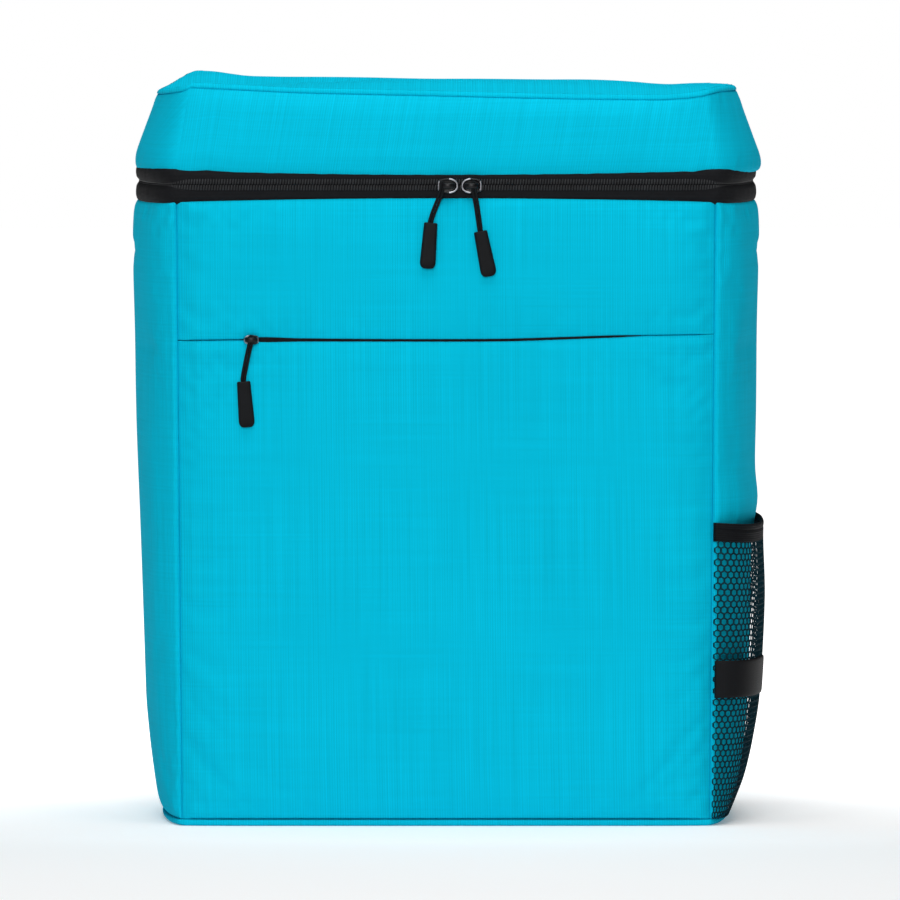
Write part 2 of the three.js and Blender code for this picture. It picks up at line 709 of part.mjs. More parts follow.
/** The flat faces of the coarse net: six-sided rings in staggered rows, and a whole edge. */
function netFaces(width, height) {
  const across = Math.round(width / NET_PITCH);
  const pitch = width / across;
  const corner = pitch / Math.sqrt(3);
  const holeShare = (pitch - NET_STRAND) / pitch;
  const rowPitch = 1.5 * corner;
  const rows = Math.floor((height - 2 * NET_MARGIN - corner / 2) / rowPitch);
  const first = (height - rowPitch * (rows - 1)) / 2;
  const faces = [];
  for (let row = 0; row < rows; row++) {
    const up = first + row * rowPitch;
    const staggered = row % 2;
    for (let i = 0; i < across - staggered; i++) {
      const centre = [(i + 0.5 + staggered / 2) * pitch, up];
      const ring = (share) =>
        steps(0, 2 * Math.PI, 6)
          .slice(0, -1)
          .map((a) => [centre[0] - share * corner * Math.sin(a), up + share * corner * Math.cos(a)]);
      const [cell, hole] = [ring(1), ring(holeShare)];
      cell.forEach((point, k) => {
        const next = (k + 1) % cell.length;
        faces.push([point, cell[next], hole[next], hole[k]]);
      });
    }
    if (staggered) {
      const [low, high] = [up - corner, up + corner];
      const [foot, head] = [up - corner / 2, up + corner / 2];
      faces.push([[0, low], [pitch / 2, foot], [pitch / 2, head], [0, high]]);
      faces.push([[width, high], [width - pitch / 2, head], [width - pitch / 2, foot], [width, low]]);
    }
  }
  const last = first + (rows - 1) * rowPitch;
  const peak = (step, staggered) => corner * (step % 2 === staggered ? 0.5 : 1);
  for (let step = 0; step < 2 * across; step++) {
    const [from, to] = [(step * pitch) / 2, ((step + 1) * pitch) / 2];
    const [lowFrom, lowTo] = [first - peak(step, 0), first - peak(step + 1, 0)];
    faces.push([[from, 0], [to, 0], [to, lowTo], [from, lowFrom]]);
    const odd = (rows - 1) % 2;
    const [highFrom, highTo] = [last + peak(step, odd), last + peak(step + 1, odd)];
    faces.push([[from, highFrom], [to, highTo], [to, height], [from, height]]);
  }
  return faces;
}

/** The coarse net: its flat faces bent round the side, with walls at every open edge. */
function netGeometry() {
  const width = netRuler[netRuler.length - 1].run;
  const faces = netFaces(width, NET_TOP - PANEL_FOOT);
  const points = [];
  const triangles = [];
  const put = ([along, up], layer) => {
    const level = PANEL_FOOT + up;
    const offset = NET_CLEARANCE + NET_THICK * layer;
    const place = blend(netRuler, "along", along, "run");
    points.push(sidePoint(place, level, netStand(level), offset));
    return points.length - 1;
  };
  const quad = (a, b, c, d) => triangles.push([a, b, c], [a, c, d]);
  const key = (a, b) => [...a, ...b].map((value) => Math.round(value * KEY_SCALE)).join(" ");
  const edges = new Map();
  for (const face of faces) {
    quad(...face.map((corner) => put(corner, 1)));
    quad(...face.map((corner) => put(corner, 0)).reverse());
    face.forEach((corner, i) => {
      const next = face[(i + 1) % face.length];
      edges.set(key(corner, next), [corner, next]);
    });
  }
  for (const [a, b] of edges.values()) {
    if (!edges.has(key(b, a))) {
      quad(put(b, 1), put(a, 1), put(a, 0), put(b, 0));
    }
  }
  return solid(points, triangles);
}
addPiece("mesh_pocket", netGeometry(), "net");

// Elastic along the net's top, and the label sewn into the front seam over the net
const sideStrip = (places, lowAt, height, stand, clear, thick) => {
  const grid = (offset) =>
    [0, 1].map((share) =>
      places.map((along) => {
        const level = lowAt(along) + share * height;
        return sidePoint(along, level, stand(level), offset);
      }),
    );
  return shell(grid(clear + thick), grid(clear));
};
const elasticFoot = (along) => NET_TOP + SEAM_GAP + ELASTIC_SAG * (along * along);
const elasticPlaces = steps(-1, 1, 18);
addPiece(
  "pocket_elastic",
  sideStrip(elasticPlaces, elasticFoot, ELASTIC_WIDTH, () => ELASTIC_STAND, NET_CLEARANCE, ELASTIC_THICK),
  "tape",
);
const labelPlaces = steps(-1, LABEL_TURN / 90 - 1, 8);
const labelClear = NET_CLEARANCE + NET_THICK + SEAM_GAP;
addPiece(
  "woven_label",
  sideStrip(labelPlaces, () => LABEL_FOOT, LABEL_WIDTH, netStand, labelClear, LABEL_THICK),
  "tape",
);

/** A flat band swept along a route, its width kept as near to the given direction as it can. */
function band(route, widths, thick, across, corner) {
  return loft(
    route.map((point, i) => {
      const ahead = route[Math.min(i + 1, route.length - 1)];
      const behind = route[Math.max(i - 1, 0)];
      const tangent = new THREE.Vector3().subVectors(ahead, behind).normalize();
      const side = across.clone().addScaledVector(tangent, -across.dot(tangent)).normalize();
      const face = new THREE.Vector3().crossVectors(tangent, side);
      const half = widths[i] / 2;
      const section = [
        [-half, -thick / 2 + corner],
        [-half + corner, -thick / 2],
        [half - corner, -thick / 2],
        [half, -thick / 2 + corner],
        [half, thick / 2 - corner],
        [half - corner, thick / 2],
        [-half + corner, thick / 2],
        [-half, thick / 2 - corner],
      ];
      return section.map(([s, f]) =>
        point.clone().addScaledVector(side, s).addScaledVector(face, f),
      );
    }),
  );
}

const ACROSS = new THREE.Vector3(1, 0, 0);
const STRAP_STEPS = 20;
for (const [side, sense] of [["left", -1], ["right", 1]]) {
  const strapAt = (share) =>
    new THREE.Vector3(
      sense * (STRAP_TOP_X + STRAP_SPREAD * blend(STRAP_ROWS, "aside", share, "down")),
      BACK_FACE + STRAP_THICK / 2 + STRAP_REACH * blend(STRAP_ROWS, "out", share, "down"),
      STRAP_TOP - STRAP_DROP * share,
    );
  const shares = steps(0, 1, STRAP_STEPS);
  const widths = shares.map((share) => STRAP_WIDTH * blend(STRAP_ROWS, "width", share, "down"));
  const strap = band(shares.map(strapAt), widths, STRAP_THICK, ACROSS, STRAP_THICK * 0.3);
  addPiece(`shoulder_strap_${side}`, strap, "cloth");

  // The adjuster continues the strap's lower end, and the webbing lies over it to the foot
  const end = strapAt(1);
  const fall = new THREE.Vector3().subVectors(end, strapAt(1 - 1 / STRAP_STEPS)).normalize();
  const outward = new THREE.Vector3().crossVectors(ACROSS, fall).normalize();
  const plate = new THREE.Shape();
  const halfWide = ADJUSTER_WIDTH / 2;
  plate.setFromPoints([
    new THREE.Vector2(-halfWide, 0),
    new THREE.Vector2(halfWide, 0),
    new THREE.Vector2(halfWide, ADJUSTER_LENGTH),
    new THREE.Vector2(-halfWide, ADJUSTER_LENGTH),
  ]);
  const slotHalf = (WEBBING_WIDTH + 2) / 2;
  for (const middle of [ADJUSTER_LENGTH * 0.3, ADJUSTER_LENGTH * 0.7]) {
    const [low, high] = [middle - ADJUSTER_SLOT / 2, middle + ADJUSTER_SLOT / 2];
    plate.holes.push(
      new THREE.Path([
        new THREE.Vector2(-slotHalf, low),
        new THREE.Vector2(slotHalf, low),
        new THREE.Vector2(slotHalf, high),
        new THREE.Vector2(-slotHalf, high),
      ]),
    );
  }
  const adjuster = new THREE.ExtrudeGeometry(plate, { depth: ADJUSTER_THICK, bevelEnabled: false });
  adjuster.translate(0, SEAM_GAP, -ADJUSTER_THICK / 2);
  const sideways = new THREE.Vector3().crossVectors(fall, outward).normalize();
  adjuster.applyMatrix4(new THREE.Matrix4().makeBasis(sideways, fall, outward).setPosition(end));
  addPiece(`adjuster_${side}`, adjuster, "plastic");

  const lift = ADJUSTER_THICK / 2 + SEAM_GAP + WEBBING_THICK / 2;
  const over = (distance) => end.clone().addScaledVector(fall, distance).addScaledVector(outward, lift);
  const foot = new THREE.Vector3(
    sense * (TOP_HALF_WIDTH - WEBBING_FOOT_INSET),
    BACK_FACE + WEBBING_THICK * 0.6,
    WEBBING_FOOT,
  );
  const footUp = foot.clone().add(new THREE.Vector3(0, 0, WEBBING_WIDTH / 2));
  const leave = over(ADJUSTER_LENGTH);
  const webRoute = [
    over(ADJUSTER_LENGTH * 0.2),
    ...steps(0, 1, 5).map((share) => leave.clone().lerp(footUp, share)),
    foot,
  ];
  const webWidths = webRoute.map(() => WEBBING_WIDTH);
  const webbing = band(webRoute, webWidths, WEBBING_THICK, ACROSS, WEBBING_THICK * 0.25);
  addPiece(`webbing_${side}`, webbing, "tape");
}

// Grab handle: a doubled band sewn flat at both ends, standing out between them
const handleRoute = steps(-1, 1, 20).map((share) => {
  const open = Math.max(0, 1 - (share / 0.78) ** 2);
  const out = HANDLE_REACH * open ** 0.75;
  const y = BACK_FACE + HANDLE_THICK / 2 + out;
  return new THREE.Vector3(HANDLE_HALF_LENGTH * share, y, HANDLE_LEVEL);
});
const UPWARD = new THREE.Vector3(0, 0, 1);
const handleWidths = handleRoute.map(() => WEBBING_WIDTH);
addPiece("grab_handle", band(handleRoute, handleWidths, HANDLE_THICK, UPWARD, HANDLE_THICK * 0.25), "tape");

export default pack;
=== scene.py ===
"""Cooler backpack: the cloth, zips, net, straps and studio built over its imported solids.

Shapes are worked out in millimetres with numpy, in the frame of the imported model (front towards
-Y, up +Z, the net pocket at +X), and are put into meshes in metres.
"""

from __future__ import annotations

import logging
import math
from dataclasses import dataclass, field, replace
from enum import Enum
from typing import Callable, Sequence

import bmesh
import bpy
import numpy as np
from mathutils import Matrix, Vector


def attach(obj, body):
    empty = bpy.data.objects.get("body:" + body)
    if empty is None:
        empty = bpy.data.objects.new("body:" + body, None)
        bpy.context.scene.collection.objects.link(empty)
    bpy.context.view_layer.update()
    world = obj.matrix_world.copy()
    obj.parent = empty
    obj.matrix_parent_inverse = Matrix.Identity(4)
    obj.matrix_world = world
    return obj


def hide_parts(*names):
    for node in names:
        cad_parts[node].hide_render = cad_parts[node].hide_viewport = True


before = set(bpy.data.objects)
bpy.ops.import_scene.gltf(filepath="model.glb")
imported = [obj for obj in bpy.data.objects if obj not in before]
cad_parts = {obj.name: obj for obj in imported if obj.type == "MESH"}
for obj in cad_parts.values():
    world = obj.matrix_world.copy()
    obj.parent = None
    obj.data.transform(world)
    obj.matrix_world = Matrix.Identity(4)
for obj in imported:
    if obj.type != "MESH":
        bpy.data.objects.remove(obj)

Array = np.ndarray
MM = 0.001
UP = np.array([0.0, 0.0, 1.0])
ACROSS = np.array([1.0, 0.0, 0.0])
log = logging.getLogger("cooler_backpack")


class Side(Enum):
    """A wall of the bag, going round with the front from left to right."""

    FRONT = "front"
    RIGHT = "right"
    BACK = "back"
    LEFT = "left"


# ---------------------------------------------------------------------------------------------
# Curves, grids and meshes
# ---------------------------------------------------------------------------------------------


def column_curve(at: Sequence[float], values: Sequence[float], share: Array) -> Array:
    """A smooth curve through one column of a table, with no overshoot between its rows.

    Cubic pieces whose slope at a row is the harmonic mean of the chords on both sides of it.

    Args:
        at: The rows' places, rising.
        values: The column's values at the rows.
        share: Where to read the curve.

    Returns:
        The curve's values, in the shape of share.
    """
    at, values = np.asarray(at, float), np.asarray(values, float)
    share = np.clip(share, at[0], at[-1])
    i = np.clip(np.searchsorted(at, share, side="left"), 1, len(at) - 1)
    chord = np.diff(values) / np.diff(at)
    both = chord[:-1] * chord[1:]
    total = np.where(both > 0, chord[:-1] + chord[1:], 1.0)
    inner = np.where(both > 0, 2 * both / total, 0.0)
    slope = np.concatenate([chord[:1], inner, chord[-1:]])
    span = at[i] - at[i - 1]
    t = (share - at[i - 1]) / span
    rise = values[i] - values[i - 1]
    bend = slope[i - 1] * t * (1 - t) ** 2 - slope[i] * t * t * (1 - t)
    return values[i - 1] + rise * t * t * (3 - 2 * t) + span * bend


def clustered(count: int, density: float = 0.75) -> Array:
    """Shares from 0 to 1 that lie closer together near both ends.

    Args:
        count: Number of steps.
        density: From 0, even, towards 1, very close at the ends.

    Returns:
        count + 1 shares: s - density * sin(2 pi s) / (2 pi).
    """
    s = np.linspace(0, 1, count + 1)
    return s - density * np.sin(2 * np.pi * s) / (2 * np.pi)


def angles(count: int) -> Array:
    """Evenly spaced angles once round, without the last."""
    return np.linspace(0, 2 * np.pi, count + 1)[:-1]


def signed_power(value: Array, power: Array | float) -> Array:
    """A value's size to a power, with the value's own sign."""
    return np.sign(value) * np.abs(value) ** power


def smoothstep(low: float, high: float, value: Array) -> Array:
    """0 below low, 1 above high, and a smooth rise between."""
    t = np.clip((value - low) / (high - low), 0, 1)
    return t * t * (3 - 2 * t)


def unit(vectors: Array) -> Array:
    """The vectors at length 1."""
    return vectors / np.maximum(np.linalg.norm(vectors, axis=-1, keepdims=True), 1e-9)


def surface_normals(points: Array) -> Array:
    """Outward unit normals of a grid: the cross product of its steps along columns and rows."""
    return unit(np.cross(np.gradient(points, axis=1), np.gradient(points, axis=0)))


def run_lengths(points: Array, axis: int) -> Array:
    """Length along a grid from its first row or column, at every point."""
    step = np.linalg.norm(np.diff(points, axis=axis), axis=-1)
    start = np.zeros_like(np.take(step, [0], axis=axis))
    return np.concatenate([start, np.cumsum(step, axis=axis)], axis=axis)


def grid_quads(rows: int, columns: int, wraps: bool = False, first: int = 0) -> Array:
    """The quads of a grid whose points are numbered row by row.

    Args:
        rows: Number of rows.
        columns: Number of columns.
        wraps: Whether the last column joins the first.
        first: Number of the first point.

    Returns:
        An array of quads, four point numbers each.
    """
    row, column = np.meshgrid(np.arange(rows - 1), np.arange(columns - (not wraps)), indexing="ij")
    after = (column + 1) % columns
    corners = [row * columns + column, row * columns + after]
    corners += [(row + 1) * columns + after, (row + 1) * columns + column]
    return first + np.stack(corners, -1).reshape(-1, 4)


def make_object(name: str, points: Array, faces: Sequence[Array], uv: Array | None = None,
                recalculate: bool = True) -> bpy.types.Object:
    """A smooth-shaded object from points in millimetres.

    Args:
        name: The object's name.
        points: Its points.
        faces: Arrays of faces, each with one number of corners.
        uv: One texture place for each point, in metres, or None.
        recalculate: Whether the normals of this closed mesh are made to point outwards.

    Returns:
        The object, at the origin and linked to the scene.
    """
    mesh = bpy.data.meshes.new(name)
    flat = [face for group in faces for face in group.tolist()]
    mesh.from_pydata((points.reshape(-1, 3) * MM).tolist(), [], flat)
    mesh.polygons.foreach_set("use_smooth", np.ones(len(mesh.polygons), bool))
    if uv is not None:
        corner = np.zeros(len(mesh.loops), np.int32)
        mesh.loops.foreach_get("vertex_index", corner)
        layer = mesh.uv_layers.new(name="cloth")
        layer.data.foreach_set("uv", uv.reshape(-1, 2)[corner].astype(np.float32).ravel())
    if recalculate:
        shape = bmesh.new()
        shape.from_mesh(mesh)
        bmesh.ops.recalc_face_normals(shape, faces=shape.faces)
        shape.to_mesh(mesh)
        shape.free()
    mesh.update()
    made = bpy.data.objects.new(name, mesh)
    bpy.context.scene.collection.objects.link(made)
    return made


def rim_faces(fine: Array, coarse: Array) -> Array:
    """Triangles between a finely and a coarsely divided edge.

    Each coarse point fans out to the fine points nearest to it.

    Args:
        fine: Point numbers along the fine edge.
        coarse: Point numbers along the coarse edge, fewer by a whole factor.

    Returns:
        An array of triangles.
    """
    ratio = (len(fine) - 1) // (len(coarse) - 1)
    step = np.arange(len(fine) - 1)
    near = coarse[(step + ratio // 2) // ratio] if ratio > 1 else coarse[:-1]
    fans = np.stack([near, fine[:-1], fine[1:]], -1)
    middle = fine[np.arange(len(coarse) - 1) * ratio + (ratio - ratio // 2)]
    bridges = np.stack([coarse[:-1], middle, coarse[1:]], -1)
    return np.concatenate([fans, bridges])


def walled(name: str, outer: Array, inner: Array, uv: Array, ratio: int = 4,
           wraps: bool = False) -> bpy.types.Object:
    """A closed piece between a fine outer grid and an inner one that is read coarsely.

    Args:
        name: The object's name.
        outer: Rows by columns of points.
        inner: The same places on the inner face.
        uv: Texture places of the outer grid, in metres.
        ratio: How many fine steps make an inner one.
        wraps: Whether the columns close into a ring.

    Returns:
        The object.
    """
    rows, columns = outer.shape[:2]
    thin = inner[::ratio, ::ratio]
    thin_rows, thin_columns = thin.shape[:2]
    fine = np.arange(rows * columns).reshape(rows, columns)
    coarse = rows * columns + np.arange(thin_rows * thin_columns).reshape(thin_rows, thin_columns)
    if wraps:
        fine_loop = np.concatenate([fine, fine[:, :1]], axis=1)
        coarse_loop = np.concatenate([coarse, coarse[:, :1]], axis=1)
    else:
        fine_loop, coarse_loop = fine, coarse
    rims = [rim_faces(fine_loop[0], coarse_loop[0]), rim_faces(fine_loop[-1], coarse_loop[-1])]
    if not wraps:
        rims += [rim_faces(fine[:, 0], coarse[:, 0]), rim_faces(fine[:, -1], coarse[:, -1])]
    quads = [
        grid_quads(rows, columns, wraps),
        grid_quads(thin_rows, thin_columns, wraps, rows * columns)[:, ::-1],
    ]
    points = np.concatenate([outer.reshape(-1, 3), thin.reshape(-1, 3)])
    places = np.concatenate([uv.reshape(-1, 2), uv[::ratio, ::ratio].reshape(-1, 2)])
    return make_object(name, points, [*quads, *rims], places)


def lofted(name: str, loops: Array, uv: Array | None = None) -> bpy.types.Object:
    """A closed piece through loops of equal length, with a fan over the first and the last.

    Args:
        name: The object's name.
        loops: Loops by points.
        uv: Texture places of the loops' points, in metres, or None.

    Returns:
        The object.
    """
    count, size = loops.shape[:2]
    points = np.concatenate([loops.reshape(-1, 3), loops[[0, -1]].mean(axis=1)])
    start, end = count * size, count * size + 1
    here = np.arange(size)
    after = (here + 1) % size
    last = (count - 1) * size
    fans = np.concatenate([
        np.stack([here, np.full(size, start), after], -1),
        np.stack([last + after, np.full(size, end), last + here], -1),
    ])
    places = None
    if uv is not None:
        places = np.concatenate([uv.reshape(-1, 2), uv[[0, -1]].mean(axis=1)])
    return make_object(name, points, [grid_quads(count, size, True), fans], places)


def joined(name: str, objects: Sequence[bpy.types.Object]) -> bpy.types.Object:
    """Several objects as one mesh, keeping their materials.

    Args:
        name: The result's name.
        objects: The objects, the first of which takes in the others.

    Returns:
        The joined object.
    """
    with bpy.context.temp_override(active_object=objects[0], selected_editable_objects=list(objects)):
        bpy.ops.object.join()
    objects[0].name = name
    objects[0].data.name = name
    return objects[0]


def route_frames(route: Array, across: Array) -> tuple[Array, Array, Array]:
    """Tangent, width direction and face direction along a route.

    Args:
        route: Points along the route.
        across: The direction that the width keeps as near to as it can.

    Returns:
        Three arrays of unit vectors, one of each for every point.
    """
    tangent = unit(np.gradient(route, axis=0))
    side = unit(across - (tangent @ across)[:, None] * tangent)
    return tangent, side, np.cross(tangent, side)


def catmull(points: Sequence[Sequence[float]], count: int) -> Array:
    """A smooth route through given points (uniform Catmull-Rom), at count + 1 places."""
    p = np.asarray(points, float)
    p = np.concatenate([[2 * p[0] - p[1]], p, [2 * p[-1] - p[-2]]])
    at = np.linspace(0, len(p) - 3, count + 1)
    i = np.minimum(at.astype(int), len(p) - 4)
    t = (at - i)[:, None]
    a, b, c, d = p[i], p[i + 1], p[i + 2], p[i + 3]
    return 0.5 * (2 * b + (c - a) * t + (2 * a - 5 * b + 4 * c - d) * t**2
                  + (3 * b - a - 3 * c + d) * t**3)


def ripples(along: Array, seed: int, waves: Sequence[float] = (9.0, 13.5, 22.0)) -> Array:
    """An uneven wave of about unit height along a seam: sines of several lengths, seeded phases."""
    phase = np.random.default_rng(seed).uniform(0, 2 * np.pi, len(waves))
    total = sum(np.sin(2 * np.pi * along / w + p) for w, p in zip(waves, phase))
    return total / len(waves) * 1.4


def swells(across: Array, up: Array, seed: int, size: float) -> Array:
    """Soft uneven rises of about unit height: eight plane waves in seeded directions."""
    rng = np.random.default_rng(seed)
    total = np.zeros(np.broadcast(across, up).shape)
    for _ in range(8):
        turn, phase = rng.uniform(0, 2 * np.pi, 2)
        length = size * rng.uniform(0.7, 1.6)
        total += np.sin(2 * np.pi * (across * math.cos(turn) + up * math.sin(turn)) / length + phase)
    return total / 4


# ---------------------------------------------------------------------------------------------
# Materials
# ---------------------------------------------------------------------------------------------


class Value:
    """A number in a material's nodes, so that formulas on it are written as Python."""

    def __init__(self, graph: Graph, socket: bpy.types.NodeSocket | None) -> None:
        """Wraps an output socket of the graph."""
        self.graph = graph
        self.socket = socket

    def _math(self, operation: str, *terms: Value | float) -> Value:
        """A Math node on these terms."""
        return self.graph.node("ShaderNodeMath", {"operation": operation}, dict(enumerate(terms)))

    def __add__(self, other: Value | float) -> Value:
        """self + other."""
        return self._math("ADD", self, other)

    __radd__ = __add__

    def __sub__(self, other: Value | float) -> Value:
        """self - other."""
        return self._math("SUBTRACT", self, other)

    def __mul__(self, other: Value | float) -> Value:
        """self * other."""
        return self._math("MULTIPLY", self, other)

    def sine(self) -> Value:
        """The sine."""
        return self._math("SINE", self)

    def size(self) -> Value:
        """The absolute value."""
        return self._math("ABSOLUTE", self)

    def at_most(self, other: Value | float) -> Value:
        """The smaller of the two."""
        return self._math("MINIMUM", self, other)

    def at_least(self, other: Value | float) -> Value:
        """The larger of the two."""
        return self._math("MAXIMUM", self, other)

    def eased(self, low: float, high: float) -> Value:
        """0 below low, 1 above high, and a smooth rise between."""
        settings = {"interpolation_type": "SMOOTHSTEP"}
        return self.graph.node("ShaderNodeMapRange", settings, {0: self, 1: low, 2: high})


class Graph:
    """The nodes of one material, ending in a Principled shader."""

    def __init__(self, name: str) -> None:
        """Starts a material of that name."""
        self.material = bpy.data.materials.new(name)
        self.material.use_nodes = True
        self.tree = self.material.node_tree
        self.tree.nodes.clear()

    def node(self, kind: str, settings: dict[str, object] | None = None,
             inputs: dict[int | str, object] | None = None, output: int | str = 0) -> Value:
        """Adds one node.

        Args:
            kind: The node's type.
            settings: Its properties, which are set first.
            inputs: Values or links of its sockets, by number or name.
            output: Which output is meant.

        Returns:
            That output.
        """
        made = self.tree.nodes.new(kind)
        for key, value in (settings or {}).items():
            setattr(made, key, value)
        for key, value in (inputs or {}).items():
            if isinstance(value, Value):
                self.tree.links.new(value.socket, made.inputs[key])
            else:
                made.inputs[key].default_value = value
        return Value(self, made.outputs[output] if made.outputs else None)

    def cloth_place(self) -> tuple[Value, Value, Value]:
        """The piece's own texture place: the whole vector, and its two parts in metres."""
        place = self.node("ShaderNodeUVMap", {"uv_map": "cloth"}, output="UV")
        parts = self.node("ShaderNodeSeparateXYZ", {}, {0: place})
        return place, parts, Value(self, parts.socket.node.outputs[1])

    def object_place(self) -> Value:
        """Object coordinates, which are the model's own metres."""
        return self.node("ShaderNodeTexCoord", {}, output="Object")

    def scaled(self, place: Value, scale: tuple[float, float, float]) -> Value:
        """A place with its three parts multiplied."""
        return self.node("ShaderNodeMapping", {}, {"Vector": place, "Scale": scale})

    def noise(self, place: Value, scale: float, detail: float = 2.0) -> Value:
        """Soft noise from 0 to 1."""
        inputs = {"Vector": place, "Scale": scale, "Detail": detail, "Roughness": 0.55}
        return self.node("ShaderNodeTexNoise", {"noise_dimensions": "3D"}, inputs)

    def tint(self, low: tuple[float, ...], high: tuple[float, ...], share: Value) -> Value:
        """A colour between two others."""
        inputs = {0: share, 6: (*low, 1.0), 7: (*high, 1.0)}
        return self.node("ShaderNodeMix", {"data_type": "RGBA"}, inputs, output=2)

    def bump(self, height: Value, distance: float, strength: float,
             under: Value | None = None) -> Value:
        """A normal from a height, over another bump if one is given."""
        inputs: dict[int | str, object] = {"Height": height, "Distance": distance, "Strength": strength}
        if under is not None:
            inputs["Normal"] = under
        return self.node("ShaderNodeBump", {}, inputs)

    def finish(self, inputs: dict[int | str, object]) -> bpy.types.Material:
        """Adds the Principled shader with these sockets and returns the material."""
        shader = self.node("ShaderNodeBsdfPrincipled", {}, inputs)
        self.node("ShaderNodeOutputMaterial", {}, {"Surface": shader})
        return self.material


def shade(colour: tuple[float, float, float], factor: float) -> tuple[float, float, float]:
    """A colour made lighter or darker."""
    return tuple(min(part * factor, 1.0) for part in colour)


@dataclass(frozen=True)
class WovenFinish:
    """Plain-woven cloth, tape or webbing."""

    name: str
    colour: tuple[float, float, float]
    pitch: float = 0.00048  # width of a thread, metres
    cord: float = 0.00127  # from one thicker upright thread to the next
    relief: float = 0.00006
    strength: float = 0.35
    streak: float = 0.34  # how much single threads differ
    mottle: float = 0.07  # how much broad patches differ
    roughness: float = 0.85
    specular: float = 0.015

    def build(self) -> bpy.types.Material:
        """The material: threads over and under each other, uneven threads, soft patches.

        Returns:
            A material that reads the piece's own texture places.
        """
        g = Graph(self.name)
        place, across, up = g.cloth_place()
        turn = math.pi / self.pitch
        weave = (across * turn).sine() * (up * turn).sine() * 0.5 + 0.5
        threads = g.noise(g.scaled(place, (1 / self.pitch, 18.0, 1.0)), 0.6, 3.0)
        slubs = g.noise(g.scaled(place, (22.0, 0.7 / self.pitch, 1.0)), 0.6, 2.0)
        patches = g.noise(place, 14.0, 3.0)
        streaks = (threads * 0.65 + slubs * 0.35 - 0.5) * (2.2 * self.streak)
        cords = (across * (math.tau / self.cord)).sine() * (patches * 0.16)
        share = (0.5 + streaks + cords + (patches - 0.5) * (2 * self.mottle) + (weave - 0.5) * 0.12)
        low, high = shade(self.colour, 0.62), shade(self.colour, 1.38)
        colour = g.tint(low, high, share.at_least(0.0).at_most(1.0))
        soft = g.bump(patches, 0.0006, 0.12)
        normal = g.bump(weave + threads * 0.5, self.relief, self.strength, soft)
        return g.finish({
            "Base Color": colour,
            "Roughness": share * -0.1 + (self.roughness + 0.05),
            "Normal": normal,
            "Specular IOR Level": self.specular,
        })


@dataclass(frozen=True)
class RibbedFinish:
    """Ribbed elastic, webbing or tape: cords side by side along the band."""

    name: str
    colour: tuple[float, float, float]
    rib: float = 0.0009  # from rib to rib, metres
    lengthwise: bool = True
    roughness: float = 0.72
    relief: float = 0.00018
    specular: float = 0.05

    def build(self) -> bpy.types.Material:
        """The material: ribs one way, fine picks the other way, and a little wear.

        Returns:
            A material that reads the piece's own texture places.
        """
        g = Graph(self.name)
        place, across, up = g.cloth_place()
        over, along = (up, across) if self.lengthwise else (across, up)
        ribs = (over * (math.pi / self.rib)).sine().size()
        picks = (along * (math.pi / (self.rib * 0.6))).sine().size()
        lint = g.noise(place, 420.0, 4.0)
        share = (ribs * 0.5 + picks * 0.2 + lint * 0.5 - 0.15).at_least(0.0).at_most(1.0)
        colour = g.tint(shade(self.colour, 0.55), shade(self.colour, 1.7), share)
        normal = g.bump(ribs + picks * 0.35 + lint * 0.2, self.relief, 0.6)
        return g.finish({
            "Base Color": colour,
            "Roughness": share * -0.15 + (self.roughness + 0.07),
            "Normal": normal,
            "Specular IOR Level": self.specular,
        })


@dataclass(frozen=True)
class MouldedFinish:
    """Moulded rubber or plastic with a fine grain."""

    name: str
    colour: tuple[float, float, float]
    roughness: float = 0.5
    grain: float = 2600.0
    relief: float = 0.00004
    specular: float = 0.08

    def build(self) -> bpy.types.Material:
        """The material: fine grain and faint broad unevenness, with painted shade: darker in their
        hollows, lighter where they rise.

        Returns:
            A material that reads Object coordinates.
        """
        g = Graph(self.name)
        place = g.object_place()
        grain = g.noise(place, self.grain, 2.0)
        broad = g.noise(place, 160.0, 3.0)
        share = (grain * 0.3 + broad * 0.7).eased(0.25, 0.8)
        # Painted shade and light: the colour darkens where the grain's relief sinks and lightens where it
        # rises.
        colour = g.tint(shade(self.colour, 0.75), shade(self.colour, 1.5), share)
        return g.finish({
            "Base Color": colour,
            "Roughness": share * 0.16 + (self.roughness - 0.08),
            "Normal": g.bump(grain + broad * 0.3, self.relief, 0.4),
            "Specular IOR Level": self.specular,
        })


@dataclass(frozen=True)
class PlatedFinish:
    """Gunmetal plating, a little scuffed."""

    name: str
    colour: tuple[float, float, float]
    roughness: float = 0.3

    def build(self) -> bpy.types.Material:
        """The material: metal with fine scuffs that are rougher and lighter.

        Returns:
            A material that reads Object coordinates.
        """
        g = Graph(self.name)
        place = g.object_place()
        scuff = g.noise(g.scaled(place, (1.0, 1.0, 3.0)), 900.0, 4.0).eased(0.45, 0.75)
        colour = g.tint(shade(self.colour, 0.8), shade(self.colour, 1.25), scuff)
        return g.finish({
            "Base Color": colour,
            "Metallic": 1.0,
            "Roughness": scuff * 0.2 + self.roughness,
            "Normal": g.bump(scuff, 0.00003, 0.25),
        })


Finish = WovenFinish | RibbedFinish | MouldedFinish | PlatedFinish

